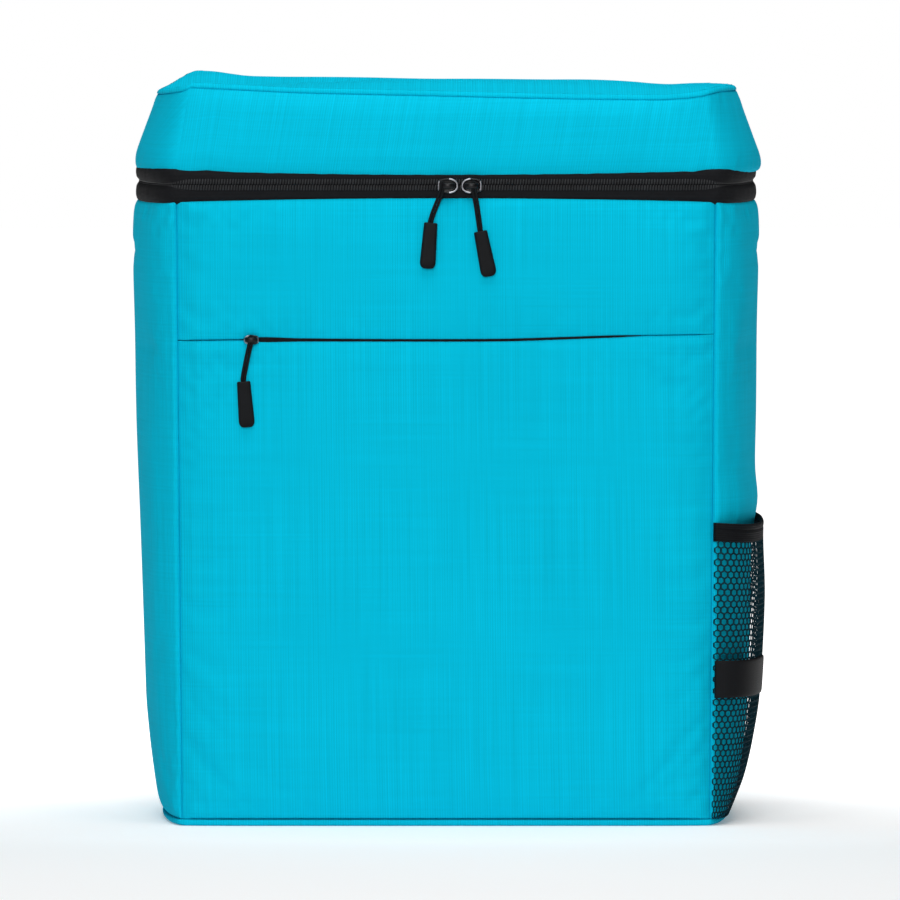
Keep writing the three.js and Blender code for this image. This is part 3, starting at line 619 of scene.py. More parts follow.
SHELL_CLOTH = WovenFinish("cyan_shell_cloth", (0.0013, 0.465, 0.655))
STRAP_CLOTH = replace(SHELL_CLOTH, name="cyan_strap_cloth", pitch=0.0006)
ZIP_TAPE = RibbedFinish("black_zip_tape", (0.0085, 0.0088, 0.0100), rib=0.0007)
COIL = MouldedFinish("black_nylon_coil", (0.020, 0.021, 0.023), roughness=0.4, specular=0.3)
GUNMETAL = PlatedFinish("gunmetal_plating", (0.36, 0.36, 0.39))
BLACK_ENAMEL = MouldedFinish("black_enamel", (0.004, 0.004, 0.005), roughness=0.32, specular=0.25)
CORD = RibbedFinish("black_braided_cord", (0.008, 0.009, 0.010), rib=0.0006, lengthwise=False)
RUBBER = MouldedFinish("black_rubber", (0.0055, 0.006, 0.007), roughness=0.5)
# The net itself is black; its dark teal tint is painted light, the cyan of the cloth behind shining
# through its thin strands.
NET = MouldedFinish("black_knitted_net", (0.004, 0.026, 0.036), roughness=0.8, grain=1800.0,
                    specular=0.03)
ELASTIC = RibbedFinish("black_ribbed_elastic", (0.006, 0.0065, 0.0075), rib=0.0011)
LABEL = WovenFinish("black_woven_label", (0.0075, 0.0078, 0.009), pitch=0.0003, roughness=0.6,
                    specular=0.08)
WEBBING = RibbedFinish("black_webbing", (0.009, 0.009, 0.010), rib=0.0016, relief=0.00025)
BUCKLE = MouldedFinish("black_acetal", (0.009, 0.009, 0.010), roughness=0.42, grain=1500.0)
BINDING = RibbedFinish("cyan_binding_tape", (0.004, 0.40, 0.62), rib=0.0009)


class Wardrobe:
    """Makes each finish once and puts pieces in place."""

    def __init__(self) -> None:
        """Starts with no finish made."""
        self.made: dict[str, bpy.types.Material] = {}

    def material(self, finish: Finish) -> bpy.types.Material:
        """The finish's material, made on its first use."""
        if finish.name not in self.made:
            self.made[finish.name] = finish.build()
        return self.made[finish.name]

    def dress(self, piece: bpy.types.Object, finish: Finish,
              slot: str, nodes: Sequence[str] = ()) -> bpy.types.Object:
        """Gives a piece its finish and its place in the frame.

        Args:
            piece: The object.
            finish: Its finish, unless it has materials already.
            slot: The record's material slot; not used.
            nodes: The CAD nodes that it stands for.

        Returns:
            The piece.
        """
        if not piece.data.materials:
            piece.data.materials.append(self.material(finish))
        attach(piece, "root")
        if nodes:
            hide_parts(*nodes)
        log.info("%s: %d faces", piece.name, len(piece.data.polygons))
        return piece


# ---------------------------------------------------------------------------------------------
# The bag's form
# ---------------------------------------------------------------------------------------------


@dataclass(frozen=True)
class Plan:
    """The bag's outline at one height or many, in millimetres."""

    half_width: Array
    half_depth: Array
    bulge: Array
    crown: Array
    shift: Array
    power: float = 1.85


@dataclass(frozen=True)
class BagForm:
    """Outline of the whole bag by height, as in the solids."""

    foot_half_width: float = 134.5
    top_half_width: float = 137.0
    half_depth: float = 82.5
    side_bulge: float = 25.0
    front_crown: float = 5.0
    front_roll: float = 30.0
    base_thick: float = 3.2
    base_round: float = 2.4
    seam_gap: float = 0.3
    wall: float = 5.0
    body_top: float = 318.25
    lid_foot: float = 333.75
    lid_rise: float = 37.3
    lid_lip: float = 0.4
    lid_side_lean: float = 6.0
    lid_bulge_loss: float = 6.5
    lid_front_lean: float = 9.0
    lid_back_lean: float = 3.0
    lid_top_crown: float = 2.5
    zip_pinch: float = 2.0
    row_at: tuple[float, ...] = (0, 0.035, 0.07, 0.135, 0.2, 0.43, 0.75, 0.93, 1)
    row_side: tuple[float, ...] = (0.44, 0.56, 0.64, 0.73, 0.79, 0.85, 0.96, 1, 0.93)
    row_front: tuple[float, ...] = (0.25, 0.6, 0.8, 1, 1, 1, 1, 0.9, 0.6)
    seam_rise: dict[Side, tuple[tuple[float, float], ...]] = field(default_factory=lambda: {
        Side.FRONT: ((-1, 5.2), (-0.8, 3.9), (-0.57, 2.5), (-0.33, 1.75), (0, 0.8), (0.36, -0.3),
                     (0.6, -0.8), (0.83, -1.0), (0.94, -0.2), (1, 0.8)),
        Side.RIGHT: ((-1, 0.8), (-0.85, 1.7), (-0.6, 2.9), (0, 2.4), (0.7, 1.9), (1, 1.6)),
        Side.BACK: ((-1, 1.6), (-0.9, 0.6), (-0.75, 1.6), (-0.5, 2.1), (0, 1.8), (0.35, 3.4),
                    (0.6, 4.4), (0.8, 5.2), (0.92, 7.2), (1, 8.3)),
        Side.LEFT: ((-1, 8.3), (-0.88, 8.2), (-0.76, 7.0), (-0.6, 4.4), (-0.36, 1.4), (0, 0.4),
                    (0.8, 3.0), (1, 5.2)),
    })
    lid_puff: dict[Side, tuple[float, float]] = field(default_factory=lambda: {
        Side.FRONT: (0.0, 0.0),
        Side.RIGHT: (3.9, 2.5),
        Side.BACK: (0.0, 0.0),
        Side.LEFT: (1.5, 1.0),
    })

    @property
    def panel_foot(self) -> float:
        """Height of the walls' lower edge."""
        return self.base_thick + self.seam_gap

    @property
    def zip_level(self) -> float:
        """Height of the main zip's middle."""
        return (self.body_top + self.lid_foot) / 2

    def body_plan(self, level: Array | float) -> Plan:
        """The body's plan at a height: its table read at that share of the body's height."""
        level = np.asarray(level, float)
        at = np.clip(level / self.body_top, 0, 1)
        return Plan(
            self.foot_half_width + (self.top_half_width - self.foot_half_width) * at,
            np.full_like(at, self.half_depth),
            self.side_bulge * column_curve(self.row_at, self.row_side, at),
            self.front_crown * column_curve(self.row_at, self.row_front, at),
            np.zeros_like(at),
        )

    def lid_plan(self, level: Array | float, side: Side) -> Plan:
        """The lid's plan at a height: every size leans in evenly over the lid's rise.

        Args:
            level: The height.
            side: Which wall, as the padding puffs out each of them differently.

        Returns:
            The plan.
        """
        at = (np.asarray(level, float) - self.lid_foot) / self.lid_rise
        top = self.body_plan(self.body_top)
        foot_puff, top_puff = self.lid_puff[side]
        return Plan(
            top.half_width - self.lid_side_lean * at,
            self.half_depth - (self.lid_front_lean + self.lid_back_lean) / 2 * at,
            top.bulge + self.lid_lip - self.lid_bulge_loss * at
            + foot_puff + (top_puff - foot_puff) * at,
            top.crown + (self.lid_top_crown - top.crown) * at,
            (self.lid_front_lean - self.lid_back_lean) / 2 * at,
        )

    def edge(self, plan: Plan, side: Side, along: Array, level: Array | float,
             inset: float = 0.0) -> Array:
        """Points of a plan's edge.

        The front is straight with a crown that rises within front_roll of each seam, the back is
        straight, and each side is half a superellipse as wide as the bag is deep.

        Args:
            plan: The outline.
            side: Which wall.
            along: Places from -1 to 1 along it, going round with the front from left to right.
            level: Heights of the points.
            inset: Distance in from the edge.

        Returns:
            An array of points.
        """
        half_width, half_depth = plan.half_width - inset, plan.half_depth - inset
        if side is Side.FRONT:
            near = np.minimum(half_width * (1 - np.abs(along)) / self.front_roll, 1)
            x = half_width * along
            y = plan.shift - half_depth - plan.crown * (1 - (1 - near) ** 2)
        elif side is Side.BACK:
            x, y = -half_width * along, plan.shift + half_depth + 0 * along
        else:
            turn = np.pi * (along + 1) / 2
            forward = np.cos(turn)
            out = half_width + plan.bulge * np.maximum(np.sin(turn), 0) ** (2 / plan.power)
            deep = half_depth * signed_power(forward, 2 / plan.power)
            x, y = (out, plan.shift - deep) if side is Side.RIGHT else (-out, plan.shift + deep)
        return np.stack(np.broadcast_arrays(x, y, level), -1).astype(float)

    def places(self, side: Side, count: int, density: float = 0.75) -> Array:
        """Places along a wall that are spaced by length and lie closer together at its seams."""
        shares = clustered(count, density)
        if side in (Side.FRONT, Side.BACK):
            return 2 * shares - 1
        fine = np.linspace(-1, 1, 721)
        line = self.edge(self.body_plan(self.body_top * 0.6), side, fine, 0.0)
        run = run_lengths(line[None], 1)[0]
        return np.interp(shares * run[-1], run, fine)

    def front_face(self, x: float, level: float) -> float:
        """The front cloth's y at a place."""
        plan = self.body_plan(level)
        return float(self.edge(plan, Side.FRONT, np.array(x / plan.half_width), level)[1])

    def pinch(self, side: Side, along: Array) -> Array:
        """How far each cloth edge closes in over the zip."""
        return self.zip_pinch * (1 - along**2) if side is Side.FRONT else 0 * along

    def lid_seam(self, side: Side, along: Array) -> Array:
        """Height of the lid's top seam, which rises towards the corners."""
        places, rises = zip(*self.seam_rise[side])
        return self.lid_foot + self.lid_rise + column_curve(places, rises, along)


@dataclass(frozen=True)
class Crease:
    """A soft fold in the cloth: a ridge with a hollow on its lower side."""

    start: tuple[float, float]  # x or place along the wall, and height, millimetres
    end: tuple[float, float]
    height: float
    width: float

    def lift(self, across: Array, up: Array) -> Array:
        """Its height over a wall: a Gaussian ridge along a line, and half as deep a hollow beside it.

        Args:
            across: Places along the wall, millimetres.
            up: Heights, millimetres.

        Returns:
            The rise of the cloth, millimetres.
        """
        start, end = np.array(self.start), np.array(self.end)
        way = (end - start) / np.linalg.norm(end - start)
        reach = np.linalg.norm(end - start)
        run = (across - start[0]) * way[0] + (up - start[1]) * way[1]
        off = -(across - start[0]) * way[1] + (up - start[1]) * way[0]
        past = np.clip(-run, 0, None) ** 2 + np.clip(run - reach, 0, None) ** 2
        fade = np.exp(-past / (2 * self.width**2))
        taper = 0.55 + 0.45 * np.cos(np.pi * np.clip(run / reach, 0, 1))
        ridge = np.exp(-((off / self.width) ** 2))
        groove = 0.6 * np.exp(-(((off + 1.5 * self.width) / self.width) ** 2))
        return self.height * (ridge - groove) * fade * taper


@dataclass(frozen=True)
class Roll:
    """How padded cloth turns in at an edge: a tight turn, and a broad slope behind it."""

    width: float
    depth: float
    broad_width: float = 14.0
    broad_depth: float = 0.6

    def drop(self, distance: Array) -> Array:
        """Depth below the face at a distance from the edge.

        A quarter of an ellipse within the tight width, and a parabola within the broad one.
        """
        tight = 1 - np.clip(distance / self.width, 0, 1)
        broad = 1 - np.clip(distance / self.broad_width, 0, 1)
        return self.depth * (1 - np.sqrt(np.maximum(1 - tight**2, 0))) + self.broad_depth * broad**2


def cubic_weights(count: int, shares: Array) -> Array:
    """Weights that read a smooth curve (Catmull-Rom) through evenly spaced values.

    Args:
        count: Number of values.
        shares: Where to read it, from 0 to 1.

    Returns:
        One row of weights for each share.
    """
    at = shares * (count - 1)
    i = np.clip(at.astype(int), 0, count - 2)
    t = at - i
    terms = (-t + 2 * t**2 - t**3, 2 - 5 * t**2 + 3 * t**3, t + 4 * t**2 - 3 * t**3, t**3 - t**2)
    weights = np.zeros((len(shares), count))
    for step, term in enumerate(terms):
        np.add.at(weights, (np.arange(len(shares)), np.clip(i + step - 1, 0, count - 1)), term / 2)
    return weights


@dataclass(frozen=True)
class ClothRun:
    """A cloth simulation of one wall: sewn down round its edge, cut a little large and blown out.

    The padding under the cloth holds each inner point softly near its place.
    """

    frames: int = 20
    spacing: float = 5.0
    excess: float = 0.008  # how much longer the cloth is than the wall
    pressure: float = 4.0
    hold: float = 0.05
    limit: float = 1.5

    def lift(self, name: str, face: Array) -> Array:
        """Runs the simulation on an even grid.

        Args:
            name: Name for the sheet.
            face: Rows by columns of points of the wall, millimetres.

        Returns:
            How far each point has risen off the wall, millimetres, eased to the limit.
        """
        rows, columns = face.shape[:2]
        sheet = make_object(name, face, [grid_quads(rows, columns)], recalculate=False)
        inner = np.zeros((rows, columns), bool)
        inner[1:-1, 1:-1] = True
        sewn = sheet.vertex_groups.new(name="sewn")
        sewn.add(np.flatnonzero(~inner).tolist(), 1.0, "REPLACE")
        sewn.add(np.flatnonzero(inner).tolist(), self.hold, "REPLACE")
        cloth = sheet.modifiers.new("cloth", "CLOTH")
        cloth.settings.quality = 6
        cloth.settings.mass = 0.2
        cloth.settings.bending_stiffness = 0.3
        cloth.settings.shrink_min = -self.excess
        cloth.settings.use_pressure = True
        cloth.settings.uniform_pressure_force = self.pressure
        cloth.settings.vertex_group_mass = "sewn"
        cloth.settings.effector_weights.gravity = 0.0
        cloth.collision_settings.use_collision = False
        cloth.point_cache.frame_start, cloth.point_cache.frame_end = 1, self.frames
        for number in range(1, self.frames + 1):
            bpy.context.scene.frame_set(number)
        shaped = sheet.evaluated_get(bpy.context.evaluated_depsgraph_get()).data
        moved = np.zeros(len(shaped.vertices) * 3)
        shaped.vertices.foreach_get("co", moved)
        mesh = sheet.data
        bpy.data.objects.remove(sheet)
        bpy.data.meshes.remove(mesh)
        bpy.context.scene.frame_set(1)
        risen = ((moved.reshape(face.shape) / MM - face) * surface_normals(face)).sum(axis=-1)
        log.info("%s: cloth rose %.2f to %.2f mm", name, risen.min(), risen.max())
        return self.limit * np.tanh(risen / self.limit)


@dataclass(frozen=True)
class Puff:
    """Where the padding stands out more at one height: a Gaussian bulge."""

    level: float
    spread: float
    depth: float

    def lift(self, level: Array, along: Array) -> Array:
        """Its rise over a wall, ending at the wall's seams."""
        return self.depth * np.exp(-(((level - self.level) / self.spread) ** 2)) * (1 - along**4)


FOOT_TUCK = Puff(0.0, 17.0, -0.6)  # where the net's foot seam pulls the right side in


@dataclass
class ClothPanel:
    """A padded wall of the bag between two heights."""

    form: BagForm
    wardrobe: Wardrobe
    node: str
    side: Side
    foot: Callable[[Array], Array]
    head: Callable[[Array], Array]
    rows: int
    columns: int
    rolls: tuple[Roll, Roll, Roll, Roll]  # start, end, foot, head
    creases: tuple[Crease, ...] = ()
    puffs: tuple[Puff, ...] = ()
    run: ClothRun = ClothRun()
    swell: float = 0.5
    pucker: float = 0.22
    pucker_at: float = 4.5  # how far from a seam the puckers are highest
    seam_turn: float = 5.0  # within this of a side seam the cloth drops straight in
    seed: int = 1

    def build(self) -> bpy.types.Object:
        """Makes the panel as a padded piece in place of its node.

        Returns:
            The panel.
        """
        along = self.form.places(self.side, self.columns)[None, :]
        share = clustered(self.rows)[:, None]
        low, high = self.foot(along), self.head(along)
        level = low + (high - low) * share
        face = self.form.edge(self.form.body_plan(level), self.side, along, level)
        across, up = run_lengths(face, 1), run_lengths(face, 0)
        width, height = across[:, -1:], up[-1:, :]
        normal = surface_normals(face)
        ways = {Side.FRONT: (-1, -1), Side.RIGHT: (-1, 1), Side.BACK: (1, 1), Side.LEFT: (1, -1)}
        for way, distance in zip(ways[self.side], (across, width - across)):
            near = (1 - smoothstep(0, self.seam_turn, distance))[..., None]
            normal = unit(normal * (1 - near) + np.array([0.0, way, 0.0]) * near)
        start, end, foot, head = self.rolls
        drop = np.maximum.reduce([
            start.drop(across), end.drop(width - across), foot.drop(up), head.drop(height - up)])
        lift = -drop
        for number, distance, run in (
                (0, across, up), (1, width - across, up), (2, up, across), (3, height - up, across)):
            fade = np.exp(-((distance - self.pucker_at) ** 2) / 30) * smoothstep(0, 4, distance)
            lift = lift + self.pucker * fade * ripples(run, self.seed * 7 + number)
        inward = np.minimum(np.minimum(across, width - across), np.minimum(up, height - up))
        room = smoothstep(0, 25, inward)
        lift = lift + self.swell * room * swells(across, level, self.seed, 95.0)
        lift = lift + self.simulated(float(width.mean()), float(height.mean()))
        for puff in self.puffs:
            lift = lift + puff.lift(level, along)
        place = face[..., 0] if self.side in (Side.FRONT, Side.BACK) else across
        sewn = smoothstep(0, self.seam_turn, np.minimum(across, width - across))
        for crease in self.creases:
            lift = lift + sewn * crease.lift(place, level)
        outer = face + normal * lift[..., None]
        inner = face - normal * self.form.wall
        uv = np.stack([across, level + 0 * across], -1) * MM
        piece = walled(f"{self.node}_cloth", outer, inner, uv)
        self.wardrobe.dress(piece, SHELL_CLOTH, "shell_cloth", [self.node])
        return piece

    def simulated(self, width: float, height: float) -> Array:
        """The simulated rise of the cloth, read at the panel's own grid.

        Args:
            width: The panel's length along the wall.
            height: Its height.

        Returns:
            Rows by columns of rises, millimetres.
        """
        rows, columns = (max(round(size / self.run.spacing), 6) + 1 for size in (height, width))
        along = self.form.places(self.side, columns - 1, 0.0)[None, :]
        low, high = self.foot(along), self.head(along)
        level = low + (high - low) * np.linspace(0, 1, rows)[:, None]
        face = self.form.edge(self.form.body_plan(level), self.side, along, level)
        risen = self.run.lift(f"{self.node}_run", face)
        by_row = cubic_weights(rows, clustered(self.rows))
        by_column = cubic_weights(columns, clustered(self.columns))
        return by_row @ risen @ by_column.T


@dataclass
class Body:
    """The four walls and the base."""

    form: BagForm
    wardrobe: Wardrobe
    slot_below_zip: float = 78.0
    slot_rise: float = 2.5
    slot_start: float = -105.0
    slot_end: float = 103.0
    slot_open: float = 3.0
    slot_at: tuple[float, ...] = (0, 0.06, 0.15, 0.4, 0.64, 0.9, 1)
    slot_gape: tuple[float, ...] = (0.15, 0.85, 0.55, 0.42, 0.45, 0.4, 0.1)
    slot_sag_at: tuple[float, ...] = (-0.2, 0, 0.15, 0.39, 0.64, 0.78, 0.88, 1)
    slot_sag: tuple[float, ...] = (0.0, -0.3, 0.2, 1.0, 1.5, 1.0, 0.5, 0.0)
    seam: Roll = Roll(1.8, 0.3, 13.0, 2.6)
    side_seam: Roll = Roll(1.8, 0.3, 4.4, 2.6)
    foot_seam: Roll = Roll(2.6, 0.8, 12.0, 0.8)
    side_puff: Puff = Puff(163.0, 12.0, 2.2)
    side_dips: tuple[Puff, ...] = (Puff(262.0, 70.0, -1.2), Puff(60.0, 40.0, -0.8))
    hem: Roll = Roll(3.0, 1.6, 9.0, 0.7)
    fold: Roll = Roll(2.2, 0.9, 7.0, 0.3)
    front_creases: tuple[Crease, ...] = (
        Crease((-134, 80), (-104, 60), 1.1, 4.5),
        Crease((-132, 47), (-108, 42), 0.6, 4.0),
        Crease((-128, 16), (-104, 13), 0.5, 3.5),
        Crease((134, 66), (112, 50), 0.7, 4.5),
        Crease((133, 32), (110, 26), 0.5, 4.0),
    )

    def slot_share(self, x: Array) -> Array:
        """Place along the pocket's slot, 0 at its left end and 1 at its right end."""
        return (x - self.slot_start) / (self.slot_end - self.slot_start)

    def slot_level(self, x: Array) -> Array:
        """Height of the slot's middle."""
        share = self.slot_share(x)
        sag = column_curve(self.slot_sag_at, self.slot_sag, share)
        return self.form.zip_level - self.slot_below_zip + self.slot_rise * share - sag

    def slot_edge(self, along: Array, sense: int) -> Array:
        """Height of the slot's upper or lower edge along the front."""
        x = along * self.form.top_half_width
        gape = self.slot_open * column_curve(self.slot_at, self.slot_gape, self.slot_share(x))
        return self.slot_level(x) + sense * np.maximum(gape, self.form.seam_gap) / 2

    def build(self) -> None:
        """Makes the walls and the base."""
        form = self.form

        def panel_foot(along: Array) -> Array:
            """The walls' lower edge."""
            return form.panel_foot + 0 * along

        def body_top(side: Side) -> Callable[[Array], Array]:
            """The walls' upper edge at the zip."""
            return lambda along: form.body_top + form.pinch(side, along)

        seam, side_seam, foot, hem, fold = (self.seam, self.side_seam, self.foot_seam, self.hem,
                                            self.fold)
        ClothPanel(form, self.wardrobe, "front_pocket", Side.FRONT, panel_foot,
                   lambda along: self.slot_edge(along, -1), 168, 176, (seam, seam, foot, fold),
                   self.front_creases, seed=3).build()
        ClothPanel(form, self.wardrobe, "front_panel", Side.FRONT,
                   lambda along: self.slot_edge(along, 1), body_top(Side.FRONT), 64, 176,
                   (seam, seam, fold, hem), seed=5, swell=0.35).build()
        firm = ClothRun(excess=0.005, pressure=1.5, hold=0.08, limit=0.7)
        right = (self.side_puff, FOOT_TUCK, self.side_dips[0])
        for side, node, seed, puffs in ((Side.LEFT, "left_side_panel", 11, self.side_dips),
                                        (Side.RIGHT, "right_side_panel", 17, right)):
            ClothPanel(form, self.wardrobe, node, side, panel_foot, body_top(side), 160, 120,
                       (side_seam, side_seam, foot, hem), puffs=puffs, run=firm, seed=seed,
                       swell=0.7, pucker=0.3).build()
        ClothPanel(form, self.wardrobe, "back_panel", Side.BACK, panel_foot,
                   lambda along: form.lid_foot - 0.3 + 0 * along, 96, 88, (seam, seam, foot, hem),
                   seed=23, swell=0.2).build()
        self.build_base()

    def loop(self, plan: Plan, level: float, inset: float) -> Array:
        """A loop of points of a plan at one height."""
        runs = []
        for side in Side:
            along = self.form.places(side, 60)[:-1]
            tuck = FOOT_TUCK.depth if side is Side.RIGHT else 0.0
            wall = replace(plan, bulge=plan.bulge + tuck)
            runs.append(self.form.edge(wall, side, along, level, inset))
        return np.concatenate(runs)

    def build_base(self) -> None:
        """Makes the base: a plate through loops with a rounded lower edge."""
        form = self.form
        plan = form.body_plan(form.base_thick)
        turn = np.linspace(0, np.pi / 2, 7)
        loops = [self.loop(plan, 0.0, inset) for inset in (70, 45, 20, 8)]
        loops += [self.loop(plan, form.base_round * (1 - math.cos(t)),
                            form.base_round * (1 - math.sin(t))) for t in turn]
        loops += [self.loop(plan, form.base_thick - 0.5, 0.0), self.loop(plan, form.base_thick, 0.6)]
        loops += [self.loop(plan, form.base_thick, inset) for inset in (12, 45, 70)]
        grid = np.stack(loops)
        piece = lofted("base_panel_cloth", grid, grid[..., :2] * MM)
        self.wardrobe.dress(piece, SHELL_CLOTH, "shell_cloth", ["base_panel"])


@dataclass
class Lid:
    """The tapering band and the domed top."""

    form: BagForm
    wardrobe: Wardrobe
    edge_thick: float = 2.5
    edge_reach: float = 1.9 / 110  # the rounded edge's width, as a share of the way to the middle
    dome: float = 1.0
    middle_rise: float = 3.0
    puff_at: tuple[float, ...] = (0, 0.3, 0.75, 0.9, 1)
    puff: tuple[float, ...] = (0, 1.9, 3.4, 2.2, 0)
    foot_roll: Roll = Roll(3.0, 1.5, 11.0, 2.5)
    top_roll: Roll = Roll(2.2, 0.3, 10.0, 0.3)
    waves: tuple[tuple[float, float], ...] = (
        (-137, -0.6), (-131, -0.3), (-122, 0.9), (-108, 0.0), (108, 0.0), (119, -0.2), (126, -0.4),
        (133, 0.5), (137, 0.3))

    def stations(self, counts: dict[Side, int]) -> list[tuple[Side, Array]]:
        """Places along each wall, without the last of each, going round."""
        return [(side, self.form.places(side, counts[side])[:-1]) for side in Side]

    def foot(self, side: Side, along: Array) -> Array:
        """The band's lower edge, with small waves near the front's corners."""
        level = self.form.lid_foot - self.form.pinch(side, along)
        if side is Side.FRONT:
            places, lifts = zip(*self.waves)
            level = level + np.interp(along * self.form.top_half_width, places, lifts)
        return level

    def build(self) -> None:
        """Makes the band and the top."""
        self.build_band()
        self.build_top()

    def build_band(self) -> None:
        """Makes the band: one strip all round, rolled in at the zip and at the top seam."""
        form = self.form
        counts = {Side.FRONT: 200, Side.RIGHT: 120, Side.BACK: 120, Side.LEFT: 120}
        share = clustered(32, 0.7)[:, None]
        faces, fronts = [], []
        for side, along in self.stations(counts):
            foot, head = self.foot(side, along), form.lid_seam(side, along) + 0.2
            level = foot + (head - foot) * share
            faces.append(form.edge(form.lid_plan(level, side), side, along[None, :], level))
            fronts.append(np.where(side is Side.FRONT, 1 - along**6, 0.0))
        face = np.concatenate(faces, axis=1)
        ring = np.concatenate([face[:, -3:], face, face[:, :3]], axis=1)
        normal = surface_normals(ring)[:, 3:-3]
        around = run_lengths(np.concatenate([face, face[:, :1]], axis=1), 1)[:, :-1]
        up = run_lengths(face, 0)
        height = up[-1:, :]
        drop = np.maximum(self.foot_roll.drop(up), self.top_roll.drop(height - up))
        room = smoothstep(0, 12, np.minimum(up, height - up))
        length = around[:1, -1:]
        lift = -drop + 0.3 * room * np.sin(2 * np.pi * 9 * around / length + 1.3)
        lift = lift + np.concatenate(fronts)[None, :] * column_curve(self.puff_at, self.puff, share)
        lift = lift + 0.25 * np.exp(-((up - 4.5) ** 2) / 16) * ripples(around, 41)
        lift = lift + 0.18 * np.exp(-((height - up - 5) ** 2) / 16) * ripples(around, 43)
        outer = face + normal * lift[..., None]
        inner = face - normal * form.wall
        uv = np.stack([around, up], -1) * MM
        piece = walled("lid_band_cloth", outer, inner, uv, wraps=True)
        self.wardrobe.dress(piece, SHELL_CLOTH, "shell_cloth", ["lid_band"])

    def blended(self, u: Array, v: Array) -> Array:
        """The seam heights carried over the top.

        Facing seams are blended across from one to the other, both ways, and the blend of the
        four corners, which that counts twice, is taken off.

        Args:
            u: Place across, from -1 at the left to 1 at the right.
            v: Place from -1 at the front to 1 at the back.

        Returns:
            Heights in millimetres.
        """
        seam, s, t = self.form.lid_seam, (u + 1) / 2, (v + 1) / 2
        across = seam(Side.FRONT, u) * (1 - t) + seam(Side.BACK, -u) * t
        along = seam(Side.LEFT, -v) * (1 - s) + seam(Side.RIGHT, v) * s
        front_left, front_right = seam(Side.FRONT, np.array([-1.0, 1.0]))
        back_right, back_left = seam(Side.BACK, np.array([-1.0, 1.0]))
        corners = ((front_left * (1 - s) + front_right * s) * (1 - t)
                   + (back_left * (1 - s) + back_right * s) * t)
        return across + along - corners

    def build_top(self) -> None:
        """Makes the top: a polar grid, domed in the middle and rolled over at its seam."""
        form = self.form
        counts = {Side.FRONT: 160, Side.RIGHT: 96, Side.BACK: 96, Side.LEFT: 96}
        rim, seams = [], []
        for side, along in self.stations(counts):
            seam = form.lid_seam(side, along)
            rim.append(form.edge(form.lid_plan(seam, side), side, along, seam))
            seams.append(seam)
        rim, seam = np.concatenate(rim), np.concatenate(seams)

        def sheet_loop(spread: Array, lift: Array, full: float) -> Array:
            """Loops of the plate: the rim drawn in to a share, its height easing to the blended seams."""
            spread, lift = spread[:, None], lift[:, None]
            x, y = rim[:, 0] * spread, rim[:, 1] * spread
            u, v = (np.clip(place / abs(corner), -1, 1) for place, corner in zip((x, y), rim[0]))
            crown = (1 - u**2) * (1 - v**2)
            bound = spread**10
            inside = self.blended(u, v) + (self.middle_rise + full) * crown
            outside = seam + full * (1 - spread**2)
            return np.stack([x, y, inside * (1 - bound) + outside * bound + lift], -1)

        turn = np.linspace(0, np.pi / 2, 8)
        full = self.dome + form.wall - self.edge_thick
        spread = np.concatenate([np.linspace(0.02, 0.9, 34), np.linspace(0.915, 0.985, 10)])
        top = sheet_loop(spread, np.full(len(spread), self.edge_thick), full)
        edge_spread = 1 - self.edge_reach * (1 - np.sin(turn))
        edge = sheet_loop(edge_spread, self.edge_thick * (0.1 + 0.9 * np.cos(turn)), full)
        under = sheet_loop(np.array([0.992, 0.94, 0.75, 0.4, 0.02]),
                           np.array([-0.1, 0.2, 0.9, 1.6, 2.0]), 0.0)
        loops = np.concatenate([top, edge, under])
        ripple = 0.2 * ripples(run_lengths(rim[None], 1)[0], 47)
        near = np.concatenate([np.exp(-((1 - spread) / 0.05) ** 2), np.zeros(len(turn) + 5)])
        loops[..., 2] += near[:, None] * ripple[None, :]
        broad = 0.45 * swells(loops[..., 0], loops[..., 1], 51, 90.0)
        fade = np.concatenate([1 - spread**6, np.zeros(len(turn) + 5)])
        loops[..., 2] += fade[:, None] * broad
        piece = lofted("lid_top_cloth", loops[:, ::-1], loops[:, ::-1, :2] * MM)
        self.wardrobe.dress(piece, SHELL_CLOTH, "shell_cloth", ["lid_top"])


# ---------------------------------------------------------------------------------------------
# Zips and pulls
# ---------------------------------------------------------------------------------------------


@dataclass(frozen=True)
class ZipWay:
    """The zip's way round the bag, from the left side's back end to the right side's."""

    base: Array  # points of the cloth's outline, at height 0
    outward: Array
    run: Array
    turned: Array  # 0 on the front, 1 on the sides
    pinch: Array

    def at(self, places: Array) -> tuple[Array, Array, Array]:
        """Base points, outward directions and how far turned, at lengths along the way."""
        base = np.stack([np.interp(places, self.run, self.base[:, k]) for k in range(3)], -1)
        outward = np.stack([np.interp(places, self.run, self.outward[:, k]) for k in range(3)], -1)
        return base, unit(outward), np.interp(places, self.run, self.turned)


